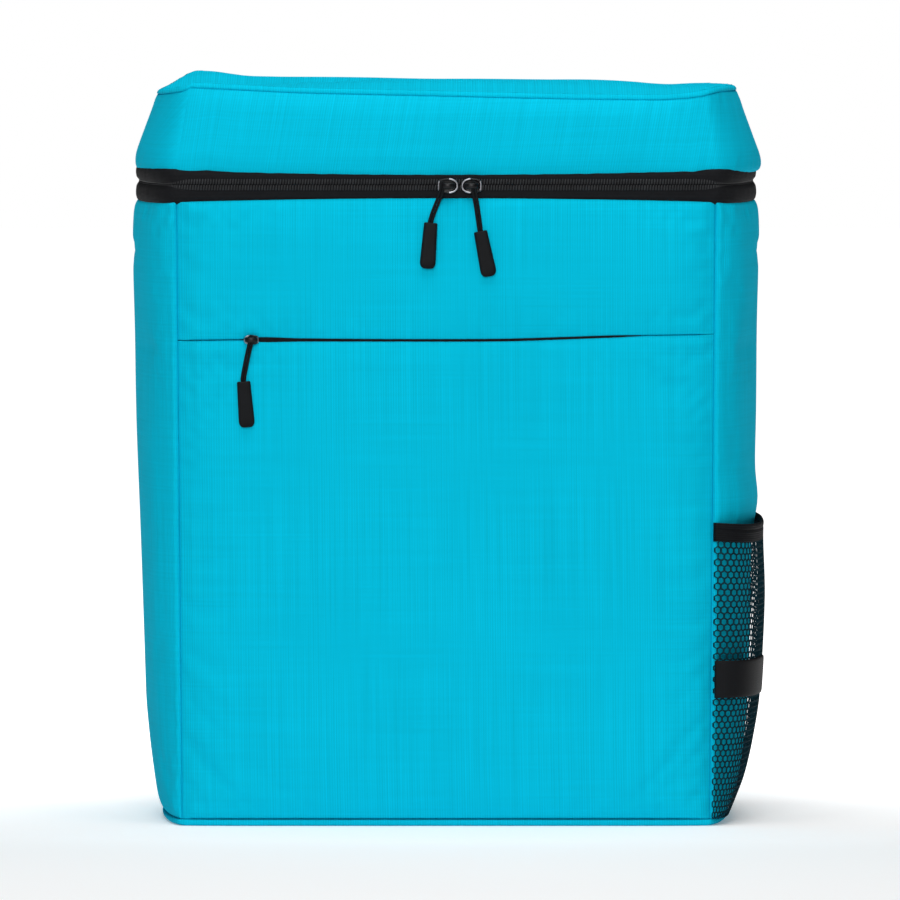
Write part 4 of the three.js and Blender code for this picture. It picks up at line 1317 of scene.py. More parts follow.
@dataclass
class MainZip:
    """Two tapes and the closed coil round the left side, the front and the right side."""

    form: BagForm
    wardrobe: Wardrobe
    tape_thick: float = 1.5
    chain_lift: float = 1.1  # chain's middle above the band's middle
    tooth_pitch: float = 1.42
    tooth_length: float = 2.8
    tooth_width: float = 0.95
    tooth_rise: float = 1.1
    tooth_lean: float = 0.3
    tooth_depth: float = 1.05  # how deep the coil lies on the front
    side_depth: float = 1.35  # how much deeper it lies on the sides
    side_loss: float = 0.45  # share of its length that a tooth loses there
    tuck: float = 1.5  # how far each tape runs under the cloth
    corner: float = 12.0  # length over which the tape's lips close at a corner
    lip_at: tuple[float, ...] = (0, 0.1, 0.3, 0.6, 0.85, 1)
    front_inset: tuple[float, ...] = (1.9, 1.5, 1.3, 1.35, 2.2, 3.5)
    side_inset: tuple[float, ...] = (2.7, 1.7, 0.7, 0.45, 0.8, 2.0)

    def way(self) -> ZipWay:
        """The zip's way: the body's outline at its top, open at the back."""
        form = self.form
        plan = form.body_plan(form.body_top)
        runs, pinches = [], []
        for side, count in ((Side.LEFT, 110), (Side.FRONT, 150), (Side.RIGHT, 110)):
            along = form.places(side, count, 0.4)
            along = along[1:-1] if side is Side.FRONT else along
            runs.append(form.edge(plan, side, along, 0.0))
            pinches.append(form.pinch(side, along))
        base = np.concatenate(runs)
        base[[0, -1], 1] -= form.seam_gap
        run = run_lengths(base[None], 1)[0]
        outward = unit(np.cross(np.gradient(base, axis=0), UP))
        seams = run[[len(runs[0]) - 1, len(base) - len(runs[2])]]
        beyond = np.maximum(seams[0] - run, run - seams[1])
        turned = smoothstep(-self.corner, self.corner, beyond)
        return ZipWay(base, outward, run, turned, np.concatenate(pinches))

    def build(self) -> None:
        """Makes both tapes and the teeth."""
        form, way = self.form, self.way()
        middle = form.zip_level + self.chain_lift
        share = np.linspace(0, 1, 25)[:, None]
        front = column_curve(self.lip_at, self.front_inset, share)
        side = column_curve(self.lip_at, self.side_inset, share)
        inset = front + (side - front) * way.turned[None, :]
        ends = {
            "zip_tape_lower": form.body_top + way.pinch - self.tuck,
            "zip_tape_upper": form.lid_foot - way.pinch + self.tuck,
        }
        for number, (node, edge) in enumerate(ends.items()):
            level = middle + (edge[None, :] - middle) * share
            flat = way.base[None] - way.outward[None] * inset[..., None]
            wave = 0.12 * ripples(way.run, 71 + number)[None, :] * np.sin(np.pi * share)
            outer = flat + way.outward[None] * wave[..., None] + UP * level[..., None]
            inner = outer - way.outward[None] * self.tape_thick
            uv = np.stack(np.broadcast_arrays(way.run[None, :], level), -1) * MM
            piece = walled(node + "_woven", outer, inner, uv, ratio=1)
            self.wardrobe.dress(piece, ZIP_TAPE, "zip_tape", [node])
        self.build_teeth(way, middle)

    def build_teeth(self, way: ZipWay, middle: float) -> None:
        """Makes the coil: two staggered rows of small loops that meet in the middle.

        Each loop is a flattened capsule of five rings, leaning a little. On the sides the loops
        are shorter and lie deeper, between the tape's lips.

        Args:
            way: The zip's way.
            middle: Height of the coil's middle.
        """
        stage = np.array([0.0, 0.12, 0.5, 0.88, 1.0])
        girth = np.array([0.35, 0.9, 1.0, 0.95, 0.4])
        turn = angles(6)
        across = girth[:, None] * np.cos(turn)[None, :] * self.tooth_width / 2
        proud = girth[:, None] * np.sin(turn)[None, :] * self.tooth_rise / 2
        quads, size = grid_quads(5, 6, True), 5 * 6
        caps = np.array([[5, 4, 3, 2, 1, 0], [24, 25, 26, 27, 28, 29]])
        rows = []
        for sense in (-1, 1):
            places = np.arange(2.0, way.run[-1] - 2.0, self.tooth_pitch) + sense * self.tooth_pitch / 4
            base, outward, turned = way.at(places)
            tangent = np.cross(UP, outward)
            spot = base - outward * (self.tooth_depth + self.side_depth * turned)[:, None] + UP * middle
            reach = sense * (0.1 + stage * self.tooth_length)[None, :]
            reach = reach * (1 - self.side_loss * turned)[:, None]
            lean = (across + (stage[:, None] - 0.5) * self.tooth_lean * sense)[None, ..., None]
            grid = (spot[:, None, None, :] + tangent[:, None, None, :] * lean
                    + outward[:, None, None, :] * proud[None, ..., None]
                    + UP * reach[:, :, None, None])
            shift = (np.arange(len(places)) * size)[:, None, None]
            faces = [(quads[None] + shift).reshape(-1, 4), (caps[None] + shift).reshape(-1, 6)]
            rows.append(make_object("coil_row", grid.reshape(-1, 3), faces))
        piece = joined("zip_chain_coil", rows)
        self.wardrobe.dress(piece, COIL, "zip_coil", ["zip_chain"])


@dataclass
class ZipPull:
    """A slider, its doubled cord and its moulded end."""

    form: BagForm
    wardrobe: Wardrobe
    names: tuple[str, str, str]  # slider, cord and end nodes
    x: float
    level: float
    face: float
    length: float
    width: float
    nose: int
    drop: float
    aside: float
    end_aside: float
    hung: float = 0.0  # where the cord lies on the bail, from its middle
    plate_thick: float = 1.5
    bail_rise: float = 4.2
    strand: float = 0.72
    end_length: float = 23.5
    end_top: float = 6.8
    end_foot: float = 8.0
    end_thick: float = 4.2
    clearance: float = 0.4

    def outline(self, count: int, inset: float) -> Array:
        """The slider's outline seen from the front: a round nose and a narrower squared tail.

        Args:
            count: Number of points.
            inset: Distance in from the edge.

        Returns:
            Points as x and z about the slider's middle.
        """
        turn = angles(count)
        c, s = np.cos(turn), np.sin(turn)
        half_long, half_wide = self.length / 2 - inset, self.width / 2 - inset
        x = half_long * signed_power(c, np.where(c > 0, 1.0, 0.35))
        narrow = 1 - 0.2 * smoothstep(-0.2, 1.0, -x / half_long)
        z = half_wide * signed_power(s, np.where(c > 0, 0.85, 0.5)) * narrow
        return np.stack([x * self.nose, z], -1)

    def build_slider(self) -> None:
        """Makes the slider: a black plate inside a raised gunmetal rim, with an arched bail; the rim's
        middle under the bail and cord is painted black as shade.
        """
        count = 48
        steps = [(0.9, 0.0), (0.15, 0.0), (0.0, 0.25), (0.0, self.plate_thick - 0.3),
                 (0.15, self.plate_thick), (0.75, self.plate_thick), (0.95, self.plate_thick - 0.2),
                 (1.0, self.plate_thick - 0.55), (1.5, self.plate_thick - 0.6)]
        loops = []
        for inset, rise in steps:
            flat = self.outline(count, inset)
            loops.append(np.stack([self.x + flat[:, 0], np.full(count, self.face - rise),
                                   self.level + flat[:, 1]], -1))
        plate = lofted("plate", np.stack(loops))
        plate.data.materials.append(self.wardrobe.material(GUNMETAL))
        plate.data.materials.append(self.wardrobe.material(BLACK_ENAMEL))
        centre = np.zeros(len(plate.data.polygons) * 3, np.float32)
        plate.data.polygons.foreach_get("center", centre)
        centre = centre.reshape(-1, 3) / MM
        inside = np.abs(centre[:, 0] - self.x) < self.length / 2 - 1.0
        inside &= np.abs(centre[:, 2] - self.level) < self.width / 2 - 1.0
        deep = centre[:, 1] > self.face - self.plate_thick + 0.15
        ahead = (centre[:, 0] - self.x) * self.nose / (self.length / 2)
        # Gunmetal only on the nose arc and the tail bar; between them the rim is black enamel, painted
        # shade under the bail and the cord.
        metal_ends = (ahead < -0.84) | (ahead > 0.12)
        plate.data.polygons.foreach_set("material_index", ((inside & deep) | ~metal_ends).astype(np.int32))
        turn = np.linspace(0, np.pi, 15)
        proud = (self.bail_rise - 0.9) * np.sin(turn) ** 0.8
        arch = np.stack([self.x + self.bail_rise * 0.82 * np.cos(turn),
                         self.face - self.plate_thick + 0.6 - proud, np.full(15, self.level)], -1)
        bail = strap_piece("bail", arch, np.full(15, 2.5), 0.95, UP, around=16, power=2.6)
        bail.data.materials.append(self.wardrobe.material(BLACK_ENAMEL))
        piece = joined(self.names[0] + "_metal", [plate, bail])
        self.wardrobe.dress(piece, GUNMETAL, "slider_metal", [self.names[0]])

    def hang(self) -> tuple[Array, Array]:
        """Where the cord starts, turns and ends, and the pull end's downward direction."""
        hang = self.end_thick / 2 + self.clearance
        foot_x, foot_level = self.x + self.aside, self.level - self.drop
        foot = np.array([foot_x, self.form.front_face(foot_x, foot_level) - hang, foot_level])
        low = np.array([foot_x + self.end_aside,
                        self.form.front_face(foot_x, foot_level - self.end_length) - hang,
                        foot_level - math.sqrt(self.end_length**2 - self.end_aside**2)])
        return foot, unit((low - foot)[None])[0]

    def build_cord(self) -> None:
        """Makes the cord: one loop over the bail whose two strands hang side by side."""
        foot, down = self.hang()
        eye = self.face - self.plate_thick - (self.bail_rise - 1.5) / 2
        inside = foot + down * 3.5
        apart = self.strand * 1.02
        out = []
        for sense in (-1, 1):
            bail_x = self.x + self.hung
            swing = foot[0] - bail_x
            lean = unit((foot - np.array([bail_x, eye, self.level]))[None])[0]
            across = unit(np.cross(lean, np.array([0.0, 1.0, 0.0]))[None])[0]
            shift = across * apart * sense
            out.append([
                np.array([bail_x, eye, self.level + 1.6]) + shift * 0.9,
                np.array([bail_x, eye - 0.4, self.level - 1.0]) + shift,
                np.array([bail_x + swing * 0.18, eye + 0.6, self.level - self.width * 0.62]) + shift,
                foot * 0.5 + 0.5 * np.array([bail_x + swing * 0.3, eye + 1.2,
                                             self.level - self.width * 0.75]) + shift,
                foot + shift * 0.95,
                inside + shift * 0.9,
            ])
        loop = out[0][::-1] + out[1]
        route = catmull(loop, 70)
        piece = tube_piece(self.names[1] + "_braid", route, self.strand, 12)
        self.wardrobe.dress(piece, CORD, "pull_cord", [self.names[1]])

    def build_end(self) -> None:
        """Makes the moulded end: a rounded flat bar that widens downwards, with a mouth for the cord."""
        foot, down = self.hang()
        start = foot + down * 1.4
        across = unit((ACROSS - down * down[0])[None])[0]
        outward = np.cross(across, down)
        outward = outward if outward[1] < 0 else -outward
        long = self.end_length
        mouth = [(0.30, 1.9), (0.32, 0.5), (0.38, 0.12), (0.80, 0.0), (0.93, 0.12), (0.985, 0.42)]
        body = [(1.0, share) for share in (0.9, 3.0, 7.0, 12.0, 16.5, 19.5)]
        turn = np.linspace(0.1, np.pi / 2, 9)
        round_end = [(max(math.cos(t), 0.0) ** 0.55, long - 3.4 + 3.4 * math.sin(t)) for t in turn[:-1]]
        round_end.append((0.12, long))
        angle = angles(40)
        c, s = np.cos(angle), np.sin(angle)
        power = 0.42
        loops = []
        for share, depth in mouth + body + round_end:
            widen = self.end_top + (self.end_foot - self.end_top) * min(depth / (long - 4), 1)
            wide = share * widen / 2
            thick = min(share, 1.0) ** 0.8 * self.end_thick / 2 * (1 - 0.12 * depth / long)
            w, t = wide * signed_power(c, power), thick * signed_power(s, power)
            loops.append(start + down * depth + across * w[:, None] + outward * t[:, None])
        grid = np.stack(loops)
        piece = lofted(self.names[2] + "_moulded", grid)
        self.wardrobe.dress(piece, RUBBER, "pull_rubber", [self.names[2]])

    def build(self) -> None:
        """Makes the slider, the cord and the end."""
        self.build_slider()
        self.build_cord()
        self.build_end()


def tube_piece(name: str, route: Array, radius: float, around: int) -> bpy.types.Object:
    """A closed round tube along a route.

    Args:
        name: The object's name.
        route: Points along its middle.
        radius: Its radius.
        around: Points round it.

    Returns:
        The tube, with texture places along and round it in metres.
    """
    tangent = unit(np.gradient(route, axis=0))
    side = np.zeros_like(tangent)
    side[0] = unit(np.cross(tangent[:1], np.array([0.31, 0.87, 0.38])))[0]
    for i in range(1, len(route)):
        carried = side[i - 1] - tangent[i] * (side[i - 1] @ tangent[i])
        side[i] = carried / np.linalg.norm(carried)
    other = np.cross(tangent, side)
    turn = angles(around)
    loops = (route[:, None, :] + radius * (np.cos(turn)[None, :, None] * side[:, None, :]
                                           + np.sin(turn)[None, :, None] * other[:, None, :]))
    run = run_lengths(route[None], 1)[0]
    uv = np.stack(np.broadcast_arrays(turn[None, :] * radius, run[:, None]), -1) * MM
    return lofted(name, loops, uv)


def strap_piece(name: str, route: Array, widths: Array, thick: float, across: Array, around: int = 40,
                power: float = 4.0, edge: float = 1.0, crown: float = 0.0) -> bpy.types.Object:
    """A closed flat band along a route.

    Its section is a superellipse, thinned towards both edges if edge is below 1.

    Args:
        name: The object's name.
        route: Points along its middle.
        widths: Its width at each point.
        thick: Its thickness.
        across: The direction that its width keeps as near to as it can.
        around: Points round its section.
        power: Squareness of the section.
        edge: Share of the thickness that is left at the edges.
        crown: Extra unevenness of the faces, for padding.

    Returns:
        The band, with texture places across and along it in metres.
    """
    _, side, face = route_frames(route, across)
    turn = angles(around)
    c, s = np.cos(turn), np.sin(turn)
    w, t = signed_power(c, 2 / power), signed_power(s, 2 / power)
    t = t * (edge + (1 - edge) * (1 - np.abs(w) ** 3.5))
    run = run_lengths(route[None], 1)[0]
    half = np.asarray(widths)[:, None] / 2
    soft = swells(w[None, :] * half, run[:, None], 61, 45.0)
    lift = thick / 2 * t[None, :] + crown * np.sign(t)[None, :] * soft
    loops = (route[:, None, :] + side[:, None, :] * (half * w[None, :])[..., None]
             + face[:, None, :] * lift[..., None])
    uv = np.stack(np.broadcast_arrays(w[None, :] * half, run[:, None] + 0 * w[None, :]), -1) * MM
    return lofted(name, loops, uv)


# ---------------------------------------------------------------------------------------------
# Net pocket
# ---------------------------------------------------------------------------------------------


@dataclass
class NetPocket:
    """The knitted net on the right side, its elastic and the bare label."""

    form: BagForm
    wardrobe: Wardrobe
    top: float = 143.0
    stand: float = 7.4
    power: float = 2.7
    clearance: float = 0.4
    thick: float = 0.35
    pitch: float = 3.35
    strand: float = 0.72
    row_at: tuple[float, ...] = (0, 0.08, 0.16, 0.3, 0.45, 0.78, 1)
    row_stand: tuple[float, ...] = (-0.2, 0.02, 0.3, 0.6, 0.8, 0.95, 0.72)
    elastic_width: float = 9.6
    elastic_thick: float = 1.4
    elastic_stand: float = 4.6
    elastic_sag: float = 2.0
    label_foot: float = 65.5
    label_width: float = 19.0
    label_thick: float = 0.9
    label_end: float = 68 / 90 - 1
    solid_thick: float = 1.2

    def net_stand(self, level: Array) -> Array:
        """How far the net stands off the side at a height."""
        return self.stand * column_curve(self.row_at, self.row_stand, level / self.top)

    def side_point(self, along: Array, level: Array, stand: Array, offset: Array | float) -> Array:
        """A point of the right side standing off the cloth."""
        plan = self.form.body_plan(level)
        tuck = FOOT_TUCK.lift(level, np.zeros_like(level))
        full = replace(plan, bulge=plan.bulge + stand + tuck, power=self.power)
        moved = replace(full, half_width=full.half_width + offset, half_depth=full.half_depth + offset)
        return self.form.edge(moved, Side.RIGHT, along, level)

    def elastic_low(self, along: Array) -> Array:
        """The elastic's lower edge, which sags in the middle."""
        return self.top + 0.3 + self.elastic_sag * along**2

    def ruler(self) -> tuple[Array, Array]:
        """Lengths from the front seam, and the places along the side they belong to."""
        fine = np.linspace(-1, 1, 241)
        level = self.top / 2
        line = self.side_point(fine, level, self.net_stand(np.array(level)), 0.0)
        return run_lengths(line[None], 1)[0], fine

    def build(self) -> None:
        """Makes the net, the elastic and the label."""
        self.build_net()
        self.build_elastic()
        self.build_label()

    def build_net(self) -> None:
        """Makes the net: six-sided rings side by side in staggered rows, bent round the side."""
        run, fine = self.ruler()
        width, height = run[-1], self.top - self.form.panel_foot
        columns = round(width / self.pitch)
        pitch = width / columns
        corner = pitch / math.sqrt(3)
        rows = int((height + 0.5 * corner) / (1.5 * corner))
        row, column = np.meshgrid(np.arange(rows), np.arange(columns), indexing="ij")
        keep = ~((row % 2 == 1) & (column == columns - 1))
        centre = np.stack([(column + 0.5 + (row % 2) / 2) * pitch,
                           corner + row * 1.5 * corner], -1)[keep]
        turn = angles(6)
        way = np.stack([-np.sin(turn), np.cos(turn)], -1)
        hole = (pitch - self.strand) / pitch
        cell = centre[:, None, :] + corner * way[None]
        inner = centre[:, None, :] + corner * hole * way[None]
        flat = np.concatenate([cell.reshape(-1, 2), inner.reshape(-1, 2)])
        keys, number = np.unique(np.round(flat, 3), axis=0, return_inverse=True)
        number = number.ravel()
        cells = len(centre) * 6
        here = np.arange(cells)
        after = here - here % 6 + (here % 6 + 1) % 6
        quads = number[np.stack([here, after, cells + after, cells + here], -1)]
        keys = keys * np.array([1.0, height / keys[:, 1].max()])
        along = np.interp(keys[:, 0], run, fine)
        rise = self.elastic_low(along) + 0.8 - self.top
        level = self.form.panel_foot + keys[:, 1] + rise * (keys[:, 1] / height) ** 4
        stand = self.net_stand(level)
        middle = self.clearance + self.solid_thick / 2
        count = len(keys)
        shells = [self.side_point(along, level, stand, middle + sense * self.thick / 2)
                  for sense in (1, -1)]
        edges = np.concatenate([quads[:, [i, (i + 1) % 4]] for i in range(4)])
        order = np.sort(edges, axis=1)
        _, first, uses = np.unique(order, axis=0, return_index=True, return_counts=True)
        open_edges = edges[first[uses == 1]]
        a, b = open_edges[:, 0], open_edges[:, 1]
        walls = np.stack([b, a, a + count, b + count], -1)
        faces = [quads, quads[:, ::-1] + count, walls]
        uv = np.concatenate([keys, keys]) * MM
        piece = make_object("mesh_pocket_net", np.concatenate(shells), faces, uv)
        self.wardrobe.dress(piece, NET, "pocket_net", ["mesh_pocket"])
        size = (width * MM, height * MM)
        share = 1 - hole**2
        size[0] * size[1] * share

    def strip(self, name: str, along: Array, low: Callable[[Array], Array], height: float,
              stand: Callable[[Array], Array], clear: float, relief: Callable[[Array], Array],
              thick: float, rows: int) -> bpy.types.Object:
        """A band round the right side.

        Args:
            name: The object's name.
            along: Places along the side.
            low: Its lower edge's height by place.
            height: Its width.
            stand: How far it stands off by height.
            clear: Its inner face's distance from the cloth's outline.
            relief: Extra thickness over its width, from 0 to 1 across it.
            thick: Its thickness.
            rows: Steps across its width.

        Returns:
            The band.
        """
        share = np.linspace(0, 1, rows + 1)[:, None]
        level = low(along)[None, :] + height * share
        extra = relief(share)
        outer = self.side_point(along[None, :], level, stand(level), clear + thick + extra)
        inner = self.side_point(along[None, :], level, stand(level), clear + 0 * extra)
        uv = np.stack([run_lengths(outer, 1), height * share + 0 * outer[..., 0]], -1) * MM
        return walled(name, outer, inner, uv, ratio=1)

    def build_elastic(self) -> None:
        """Makes the elastic: a folded band with rounded edges and a fold line."""
        along = np.linspace(-1, 1, 161)

        def relief(share: Array) -> Array:
            """Rounded edges and a groove at two thirds."""
            edge = np.minimum(share, 1 - share) * self.elastic_width
            round_off = -0.8 * (1 - np.sqrt(np.clip(1 - (1 - np.clip(edge / 1.2, 0, 1)) ** 2, 0, 1)))
            return round_off - 0.35 * np.exp(-(((share - 0.66) / 0.05) ** 2))

        piece = self.strip("pocket_elastic_band", along, self.elastic_low, self.elastic_width,
                           lambda level: self.elastic_stand + 0 * level, self.clearance, relief,
                           self.elastic_thick, 28)
        self.wardrobe.dress(piece, ELASTIC, "elastic_band", ["pocket_elastic"])

    def build_label(self) -> None:
        """Makes the bare label, sewn into the front seam over the net."""
        along = np.linspace(-1, self.label_end, 61)
        piece = self.strip("woven_label_cloth", along, lambda a: self.label_foot + 0 * a,
                           self.label_width, self.net_stand,
                           self.clearance + self.solid_thick + 0.1,
                           lambda share: -0.3 * (np.abs(2 * share - 1) ** 12), self.label_thick, 24)
        self.wardrobe.dress(piece, LABEL, "label_cloth", ["woven_label"])
        line = self.side_point(along, np.full(61, 75.0), self.net_stand(np.full(61, 75.0)), 0.0)


# ---------------------------------------------------------------------------------------------
# Carrying parts at the back
# ---------------------------------------------------------------------------------------------


@dataclass
class Carrying:
    """Shoulder straps, adjusters, webbing and the grab handle."""

    form: BagForm
    wardrobe: Wardrobe
    strap_width: float = 58.0
    strap_thick: float = 11.0
    strap_top: float = 291.75
    strap_drop: float = 205.0
    strap_reach: float = 52.0
    strap_top_x: float = 50.0
    strap_spread: float = 38.0
    binding_width: float = 3.2
    binding_thick: float = 5.4
    back_face: float = 82.8
    adjuster_width: float = 34.0
    adjuster_length: float = 24.0
    adjuster_thick: float = 4.0
    webbing_width: float = 25.0
    webbing_thick: float = 1.6
    webbing_foot: float = 20.0
    webbing_inset: float = 25.0
    handle_level: float = 315.75
    handle_half: float = 60.0
    handle_reach: float = 26.0
    handle_thick: float = 3.0
    down: tuple[float, ...] = (0, 0.1, 0.22, 0.4, 0.6, 0.8, 0.93, 1)
    out: tuple[float, ...] = (0, 0, 0.4, 0.88, 1, 0.86, 0.62, 0.45)
    aside: tuple[float, ...] = (0, 0, 0.02, 0.12, 0.36, 0.7, 0.92, 1)
    width: tuple[float, ...] = (1, 1, 1, 1, 1, 1, 0.86, 0.6)

    def strap_route(self, sense: int, share: Array) -> Array:
        """The strap's middle line: out, aside and down by its table."""
        x = sense * (self.strap_top_x + self.strap_spread * column_curve(self.down, self.aside, share))
        out = self.strap_reach * column_curve(self.down, self.out, share)
        y = self.back_face + self.strap_thick / 2 + out
        return np.stack([x, y, self.strap_top - self.strap_drop * share], -1)

    def build(self) -> None:
        """Makes both straps with their hardware, and the handle."""
        for name, sense in (("left", -1), ("right", 1)):
            self.build_strap(name, sense)
        self.build_handle()

    def build_strap(self, name: str, sense: int) -> None:
        """Makes one padded strap with its binding, adjuster and webbing.

        Args:
            name: left or right.
            sense: -1 or 1.
        """
        share = np.linspace(0, 1, 121)
        route = self.strap_route(sense, share)
        widths = self.strap_width * column_curve(self.down, self.width, share)
        pad = strap_piece(f"shoulder_strap_{name}_pad", route, widths - 2.0, self.strap_thick, ACROSS,
                          around=72, power=3.4, edge=0.42, crown=0.25)
        self.wardrobe.dress(pad, STRAP_CLOTH, "strap_cloth", [f"shoulder_strap_{name}"])
        _, side, _ = route_frames(route, ACROSS)
        rails = []
        for edge in (-1, 1):
            rail = route + side * (edge * (widths - self.binding_width) / 2)[:, None]
            rails.append(strap_piece("rail", rail, np.full(121, self.binding_width), self.binding_thick,
                                     ACROSS, around=16, power=2.4))
        binding = joined(f"shoulder_strap_{name}_binding", rails)
        self.wardrobe.dress(binding, BINDING, "strap_cloth")

        end = route[-1]
        fall = unit((end - self.strap_route(sense, np.array([0.95]))[0])[None])[0]
        outward = unit(np.cross(ACROSS, fall)[None])[0]
        self.build_adjuster(name, end, fall, outward)
        lift = self.adjuster_thick / 2 + self.form.seam_gap + self.webbing_thick / 2
        leave = end + fall * self.adjuster_length + outward * lift
        first = end + fall * self.adjuster_length * 0.2 + outward * lift
        foot = np.array([sense * (self.form.top_half_width - self.webbing_inset),
                         self.back_face + self.webbing_thick * 0.6, self.webbing_foot])
        foot_up = foot + UP * self.webbing_width / 2
        line = leave + (foot_up - leave) * np.linspace(0, 1, 30)[:, None]
        web = np.concatenate([[first], [(first + leave) / 2], line, [foot]])
        webbing = strap_piece(f"webbing_{name}_band", web, np.full(len(web), self.webbing_width),
                              self.webbing_thick, ACROSS, around=36, power=7.0)
        self.wardrobe.dress(webbing, WEBBING, "webbing", [f"webbing_{name}"])

    def build_adjuster(self, name: str, end: Array, fall: Array, outward: Array) -> None:
        """Makes the adjuster: a moulded frame with three round bars.

        Args:
            name: left or right.
            end: The strap's lower end.
            fall: The direction down the strap.
            outward: The direction away from the bag.
        """
        side = np.cross(fall, outward)
        start = end + fall * self.form.seam_gap
        half, thick = self.adjuster_width / 2, self.adjuster_thick
        bars = []
        for at, wide in ((0.0, 4.4), (0.5, 4.0), (1.0, 4.4)):
            middle = start + fall * (wide / 2 + at * (self.adjuster_length - wide))
            route = middle + side * np.linspace(-half + 1.2, half - 1.2, 13)[:, None]
            depth = thick * (1.0 if at != 0.5 else 0.8)
            bars.append(strap_piece("bar", route, np.full(13, wide), depth, fall, around=24,
                                    power=2.6))
        for sense in (-1, 1):
            middle = start + side * sense * (half - 2.3)
            route = middle + fall * np.linspace(1.2, self.adjuster_length - 1.2, 13)[:, None]
            bars.append(strap_piece("bar", route, np.full(13, 4.6), thick, side, around=24, power=2.6))
        piece = joined(f"adjuster_{name}_frame", bars)
        self.wardrobe.dress(piece, BUCKLE, "buckle_plastic", [f"adjuster_{name}"])

    def build_handle(self) -> None:
        """Makes the grab handle: doubled webbing sewn flat at both ends."""
        share = np.linspace(-1, 1, 101)
        out = self.handle_reach * np.maximum(0, 1 - (share / 0.78) ** 2) ** 0.75
        route = np.stack([self.handle_half * share, self.back_face + self.handle_thick / 2 + out,
                          np.full(101, self.handle_level)], -1)
        piece = strap_piece("grab_handle_band", route, np.full(101, self.webbing_width),
                            self.handle_thick, UP, around=40, power=6.0)
        self.wardrobe.dress(piece, WEBBING, "webbing", ["grab_handle"])


# ---------------------------------------------------------------------------------------------
# Studio
# ---------------------------------------------------------------------------------------------


@dataclass
class Studio:
    """Pale floor, soft light and the camera."""

    sensor: float = 36.0
    distance: float = 6.0
    lens: float = 471.8
    elevation: float = 3.0
    aim: tuple[float, float, float] = (0.00204, -0.0875, 0.1922)
    front_power: float = 46.0
    top_power: float = 36.0
    ambient: float = 0.05
    backdrop: float = 1.0

    def area_light(self, name: str, place: Sequence[float], target: Sequence[float], size: float,
                   power: float) -> None:
        """Adds a square softbox.

        Args:
            name: The light's name.
            place: Where it is.
            target: Where it faces.
            size: Its side.
            power: Its power in watts.
        """
        lamp = bpy.data.lights.new(name, "AREA")
        lamp.size, lamp.energy = size, power
        holder = bpy.data.objects.new(name, lamp)
        holder.location = place
        holder.rotation_euler = (Vector(target) - Vector(place)).to_track_quat("-Z", "Y").to_euler()
        bpy.context.scene.collection.objects.link(holder)

    def build(self) -> None:
        """Makes the camera, the lights, the world and the floor."""
        turn = math.radians(self.elevation)
        aim = Vector(self.aim)
        lens = bpy.data.cameras.new("camera")
        lens.sensor_width, lens.lens = self.sensor, self.lens
        lens.clip_start, lens.clip_end = 0.1, 100
        camera = bpy.data.objects.new("camera", lens)
        back = Vector((0.0, -math.cos(turn), math.sin(turn)))
        camera.location = aim + back * self.distance
        camera.rotation_euler = (-back).to_track_quat("-Z", "Y").to_euler()
        bpy.context.scene.collection.objects.link(camera)
        bpy.context.scene.camera = camera

        self.area_light("softbox_front", (-0.2, -2.8, 1.25), (0, 0, 0.2), 1.5, self.front_power)
        self.area_light("softbox_top", (0.0, -0.35, 2.2), (0, 0, 0.3), 1.6, self.top_power)

        self.build_world()
        self.build_floor()
        bpy.context.scene.view_settings.view_transform = "Standard"

    def build_world(self) -> None:
        """Makes the world: an even white backdrop that lights the bag softly."""
        world = bpy.data.worlds.new("studio")
        world.use_nodes = True
        tree = world.node_tree
        tree.nodes.clear()
        output = tree.nodes.new("ShaderNodeOutputWorld")
        blend = tree.nodes.new("ShaderNodeMixShader")
        seen = tree.nodes.new("ShaderNodeLightPath")
        tree.links.new(seen.outputs["Is Camera Ray"], blend.inputs[0])
        for socket, strength in ((1, self.ambient), (2, self.backdrop)):
            backdrop = tree.nodes.new("ShaderNodeBackground")
            backdrop.inputs["Color"].default_value = (1, 1, 1, 1)
            backdrop.inputs["Strength"].default_value = strength
            tree.links.new(backdrop.outputs[0], blend.inputs[socket])
        tree.links.new(blend.outputs[0], output.inputs["Surface"])
        bpy.context.scene.world = world

    def build_floor(self) -> None:
        """Makes the floor: a wide pale disc."""
        turn = angles(96)
        rim = np.stack([np.cos(turn), np.sin(turn), 0 * turn], -1) * 9000
        points = np.concatenate([rim, [[0.0, 0.0, 0.0]]])
        here = np.arange(96)
        fan = np.stack([np.full(96, 96), here, (here + 1) % 96], -1)
        floor = make_object("studio_floor", points, [fan], recalculate=False)
        g = Graph("pale_floor")
        place = g.object_place()
        colour = g.tint((0.93, 0.93, 0.93), (0.96, 0.96, 0.96), g.noise(place, 3.0, 2.0))
        behind = g.node("ShaderNodeSeparateXYZ", {}, {0: place}, output=1)
        glow = g.tint((0.0, 0.0, 0.0), (1.0, 1.0, 1.0), behind.eased(-0.25, 0.45))
        floor.data.materials.append(g.finish({
            "Base Color": colour, "Roughness": 0.9, "Emission Color": glow,
            "Emission Strength": 1.0, "Specular IOR Level": 0.0}))


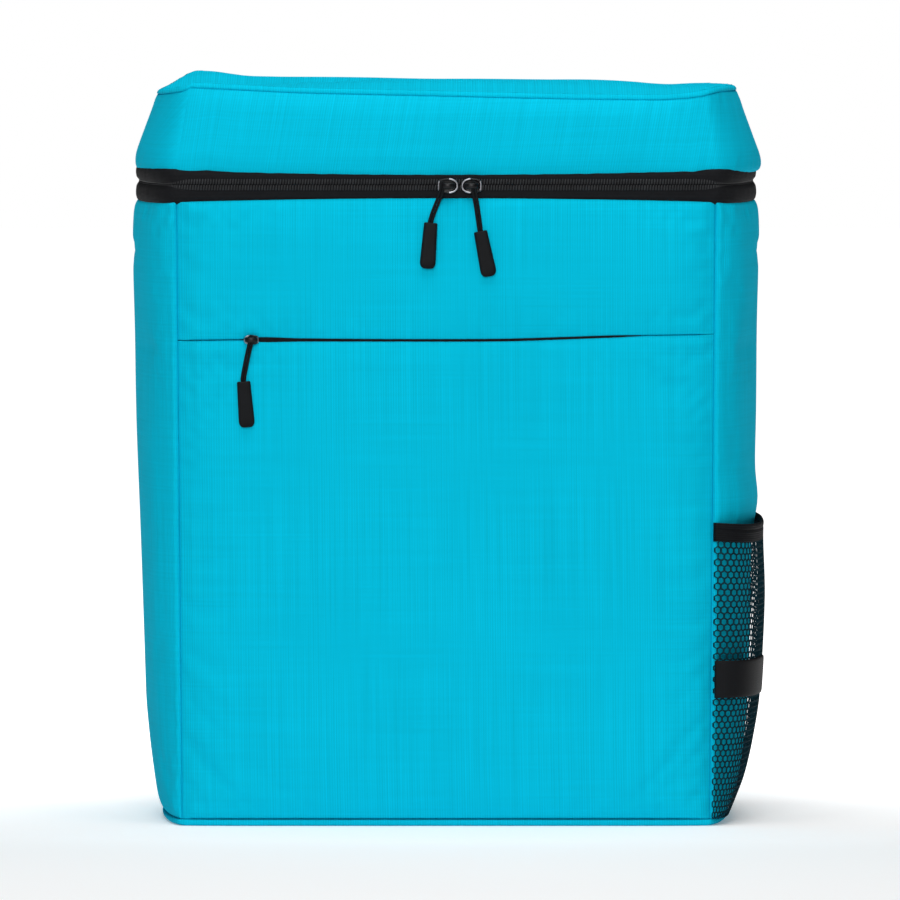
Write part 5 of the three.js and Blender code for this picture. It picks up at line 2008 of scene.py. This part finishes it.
def build_zips(form: BagForm, body: Body, wardrobe: Wardrobe) -> None:
    """Makes the main zip, its two pulls, and the pocket's zip and pull.

    Args:
        form: The bag's form.
        body: The walls, which know where the pocket's slot is.
        wardrobe: Where finishes come from.
    """
    MainZip(form, wardrobe).build()
    plan = form.body_plan(form.body_top)
    face = float(form.edge(plan, Side.FRONT, np.array(0.0), 0.0, 0.3)[1]) - form.seam_gap
    level = form.zip_level + 0.6
    for names, x, nose, drop, aside, end_aside, hung in (
            (("zip_slider_left", "pull_cord_left", "pull_end_left"), 1.0, 1, 17.3, -8.6, -1.8, -3.0),
            (("zip_slider_right", "pull_cord_right", "pull_end_right"), 13.0, -1, 21.6, 4.2, 4.6, 1.2)):
        ZipPull(form, wardrobe, names, x, level, face, 10.4, 8.0, nose, drop, aside, end_aside,
                hung).build()
    x = body.slot_start + 6.0
    level = float(body.slot_level(np.array(x)))
    face = form.front_face(x, level) - form.seam_gap
    names = ("pocket_slider", "pocket_pull_cord", "pocket_pull_end")
    ZipPull(form, wardrobe, names, x, level, face, 7.6, 5.2, -1, 19.7, -4.0, 1.8,
            bail_rise=3.6).build()
    build_pocket_tape(form, body, wardrobe)


def build_pocket_tape(form: BagForm, body: Body, wardrobe: Wardrobe) -> None:
    """Makes the dark closed coil just inside the pocket's slot.

    Args:
        form: The bag's form.
        body: The walls, which know where the slot is.
        wardrobe: Where finishes come from.
    """
    x = np.linspace(body.slot_start + 2, body.slot_end - 2, 241)[None, :]
    along = x / form.top_half_width
    share = np.linspace(0, 1, 9)[:, None]
    low, high = body.slot_edge(along, -1) - 1.2, body.slot_edge(along, 1) + 1.2
    level = low + (high - low) * share
    plan = form.body_plan(level)
    outer = form.edge(plan, Side.FRONT, along, level, 1.7)
    inner = form.edge(plan, Side.FRONT, along, level, 3.4)
    outer[..., 1] -= 0.5 * np.sin(np.pi * share) * np.abs(np.sin(np.pi * x / 1.3))
    uv = np.stack(np.broadcast_arrays(x, level), -1) * MM
    piece = walled("pocket_zip_coil", outer, inner, uv, ratio=1)
    wardrobe.dress(piece, ZIP_TAPE, "zip_coil", ["pocket_zip_tape"])


def main() -> None:
    """Builds the studio and the bag's sub-assemblies in order."""
    logging.basicConfig(level=logging.INFO, format="%(name)s %(message)s")
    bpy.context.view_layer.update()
    Studio().build()
    form = BagForm()
    wardrobe = Wardrobe()
    body = Body(form, wardrobe)
    body.build()
    Lid(form, wardrobe).build()
    build_zips(form, body, wardrobe)
    NetPocket(form, wardrobe).build()
    Carrying(form, wardrobe).build()


if __name__ == "__main__":
    main()
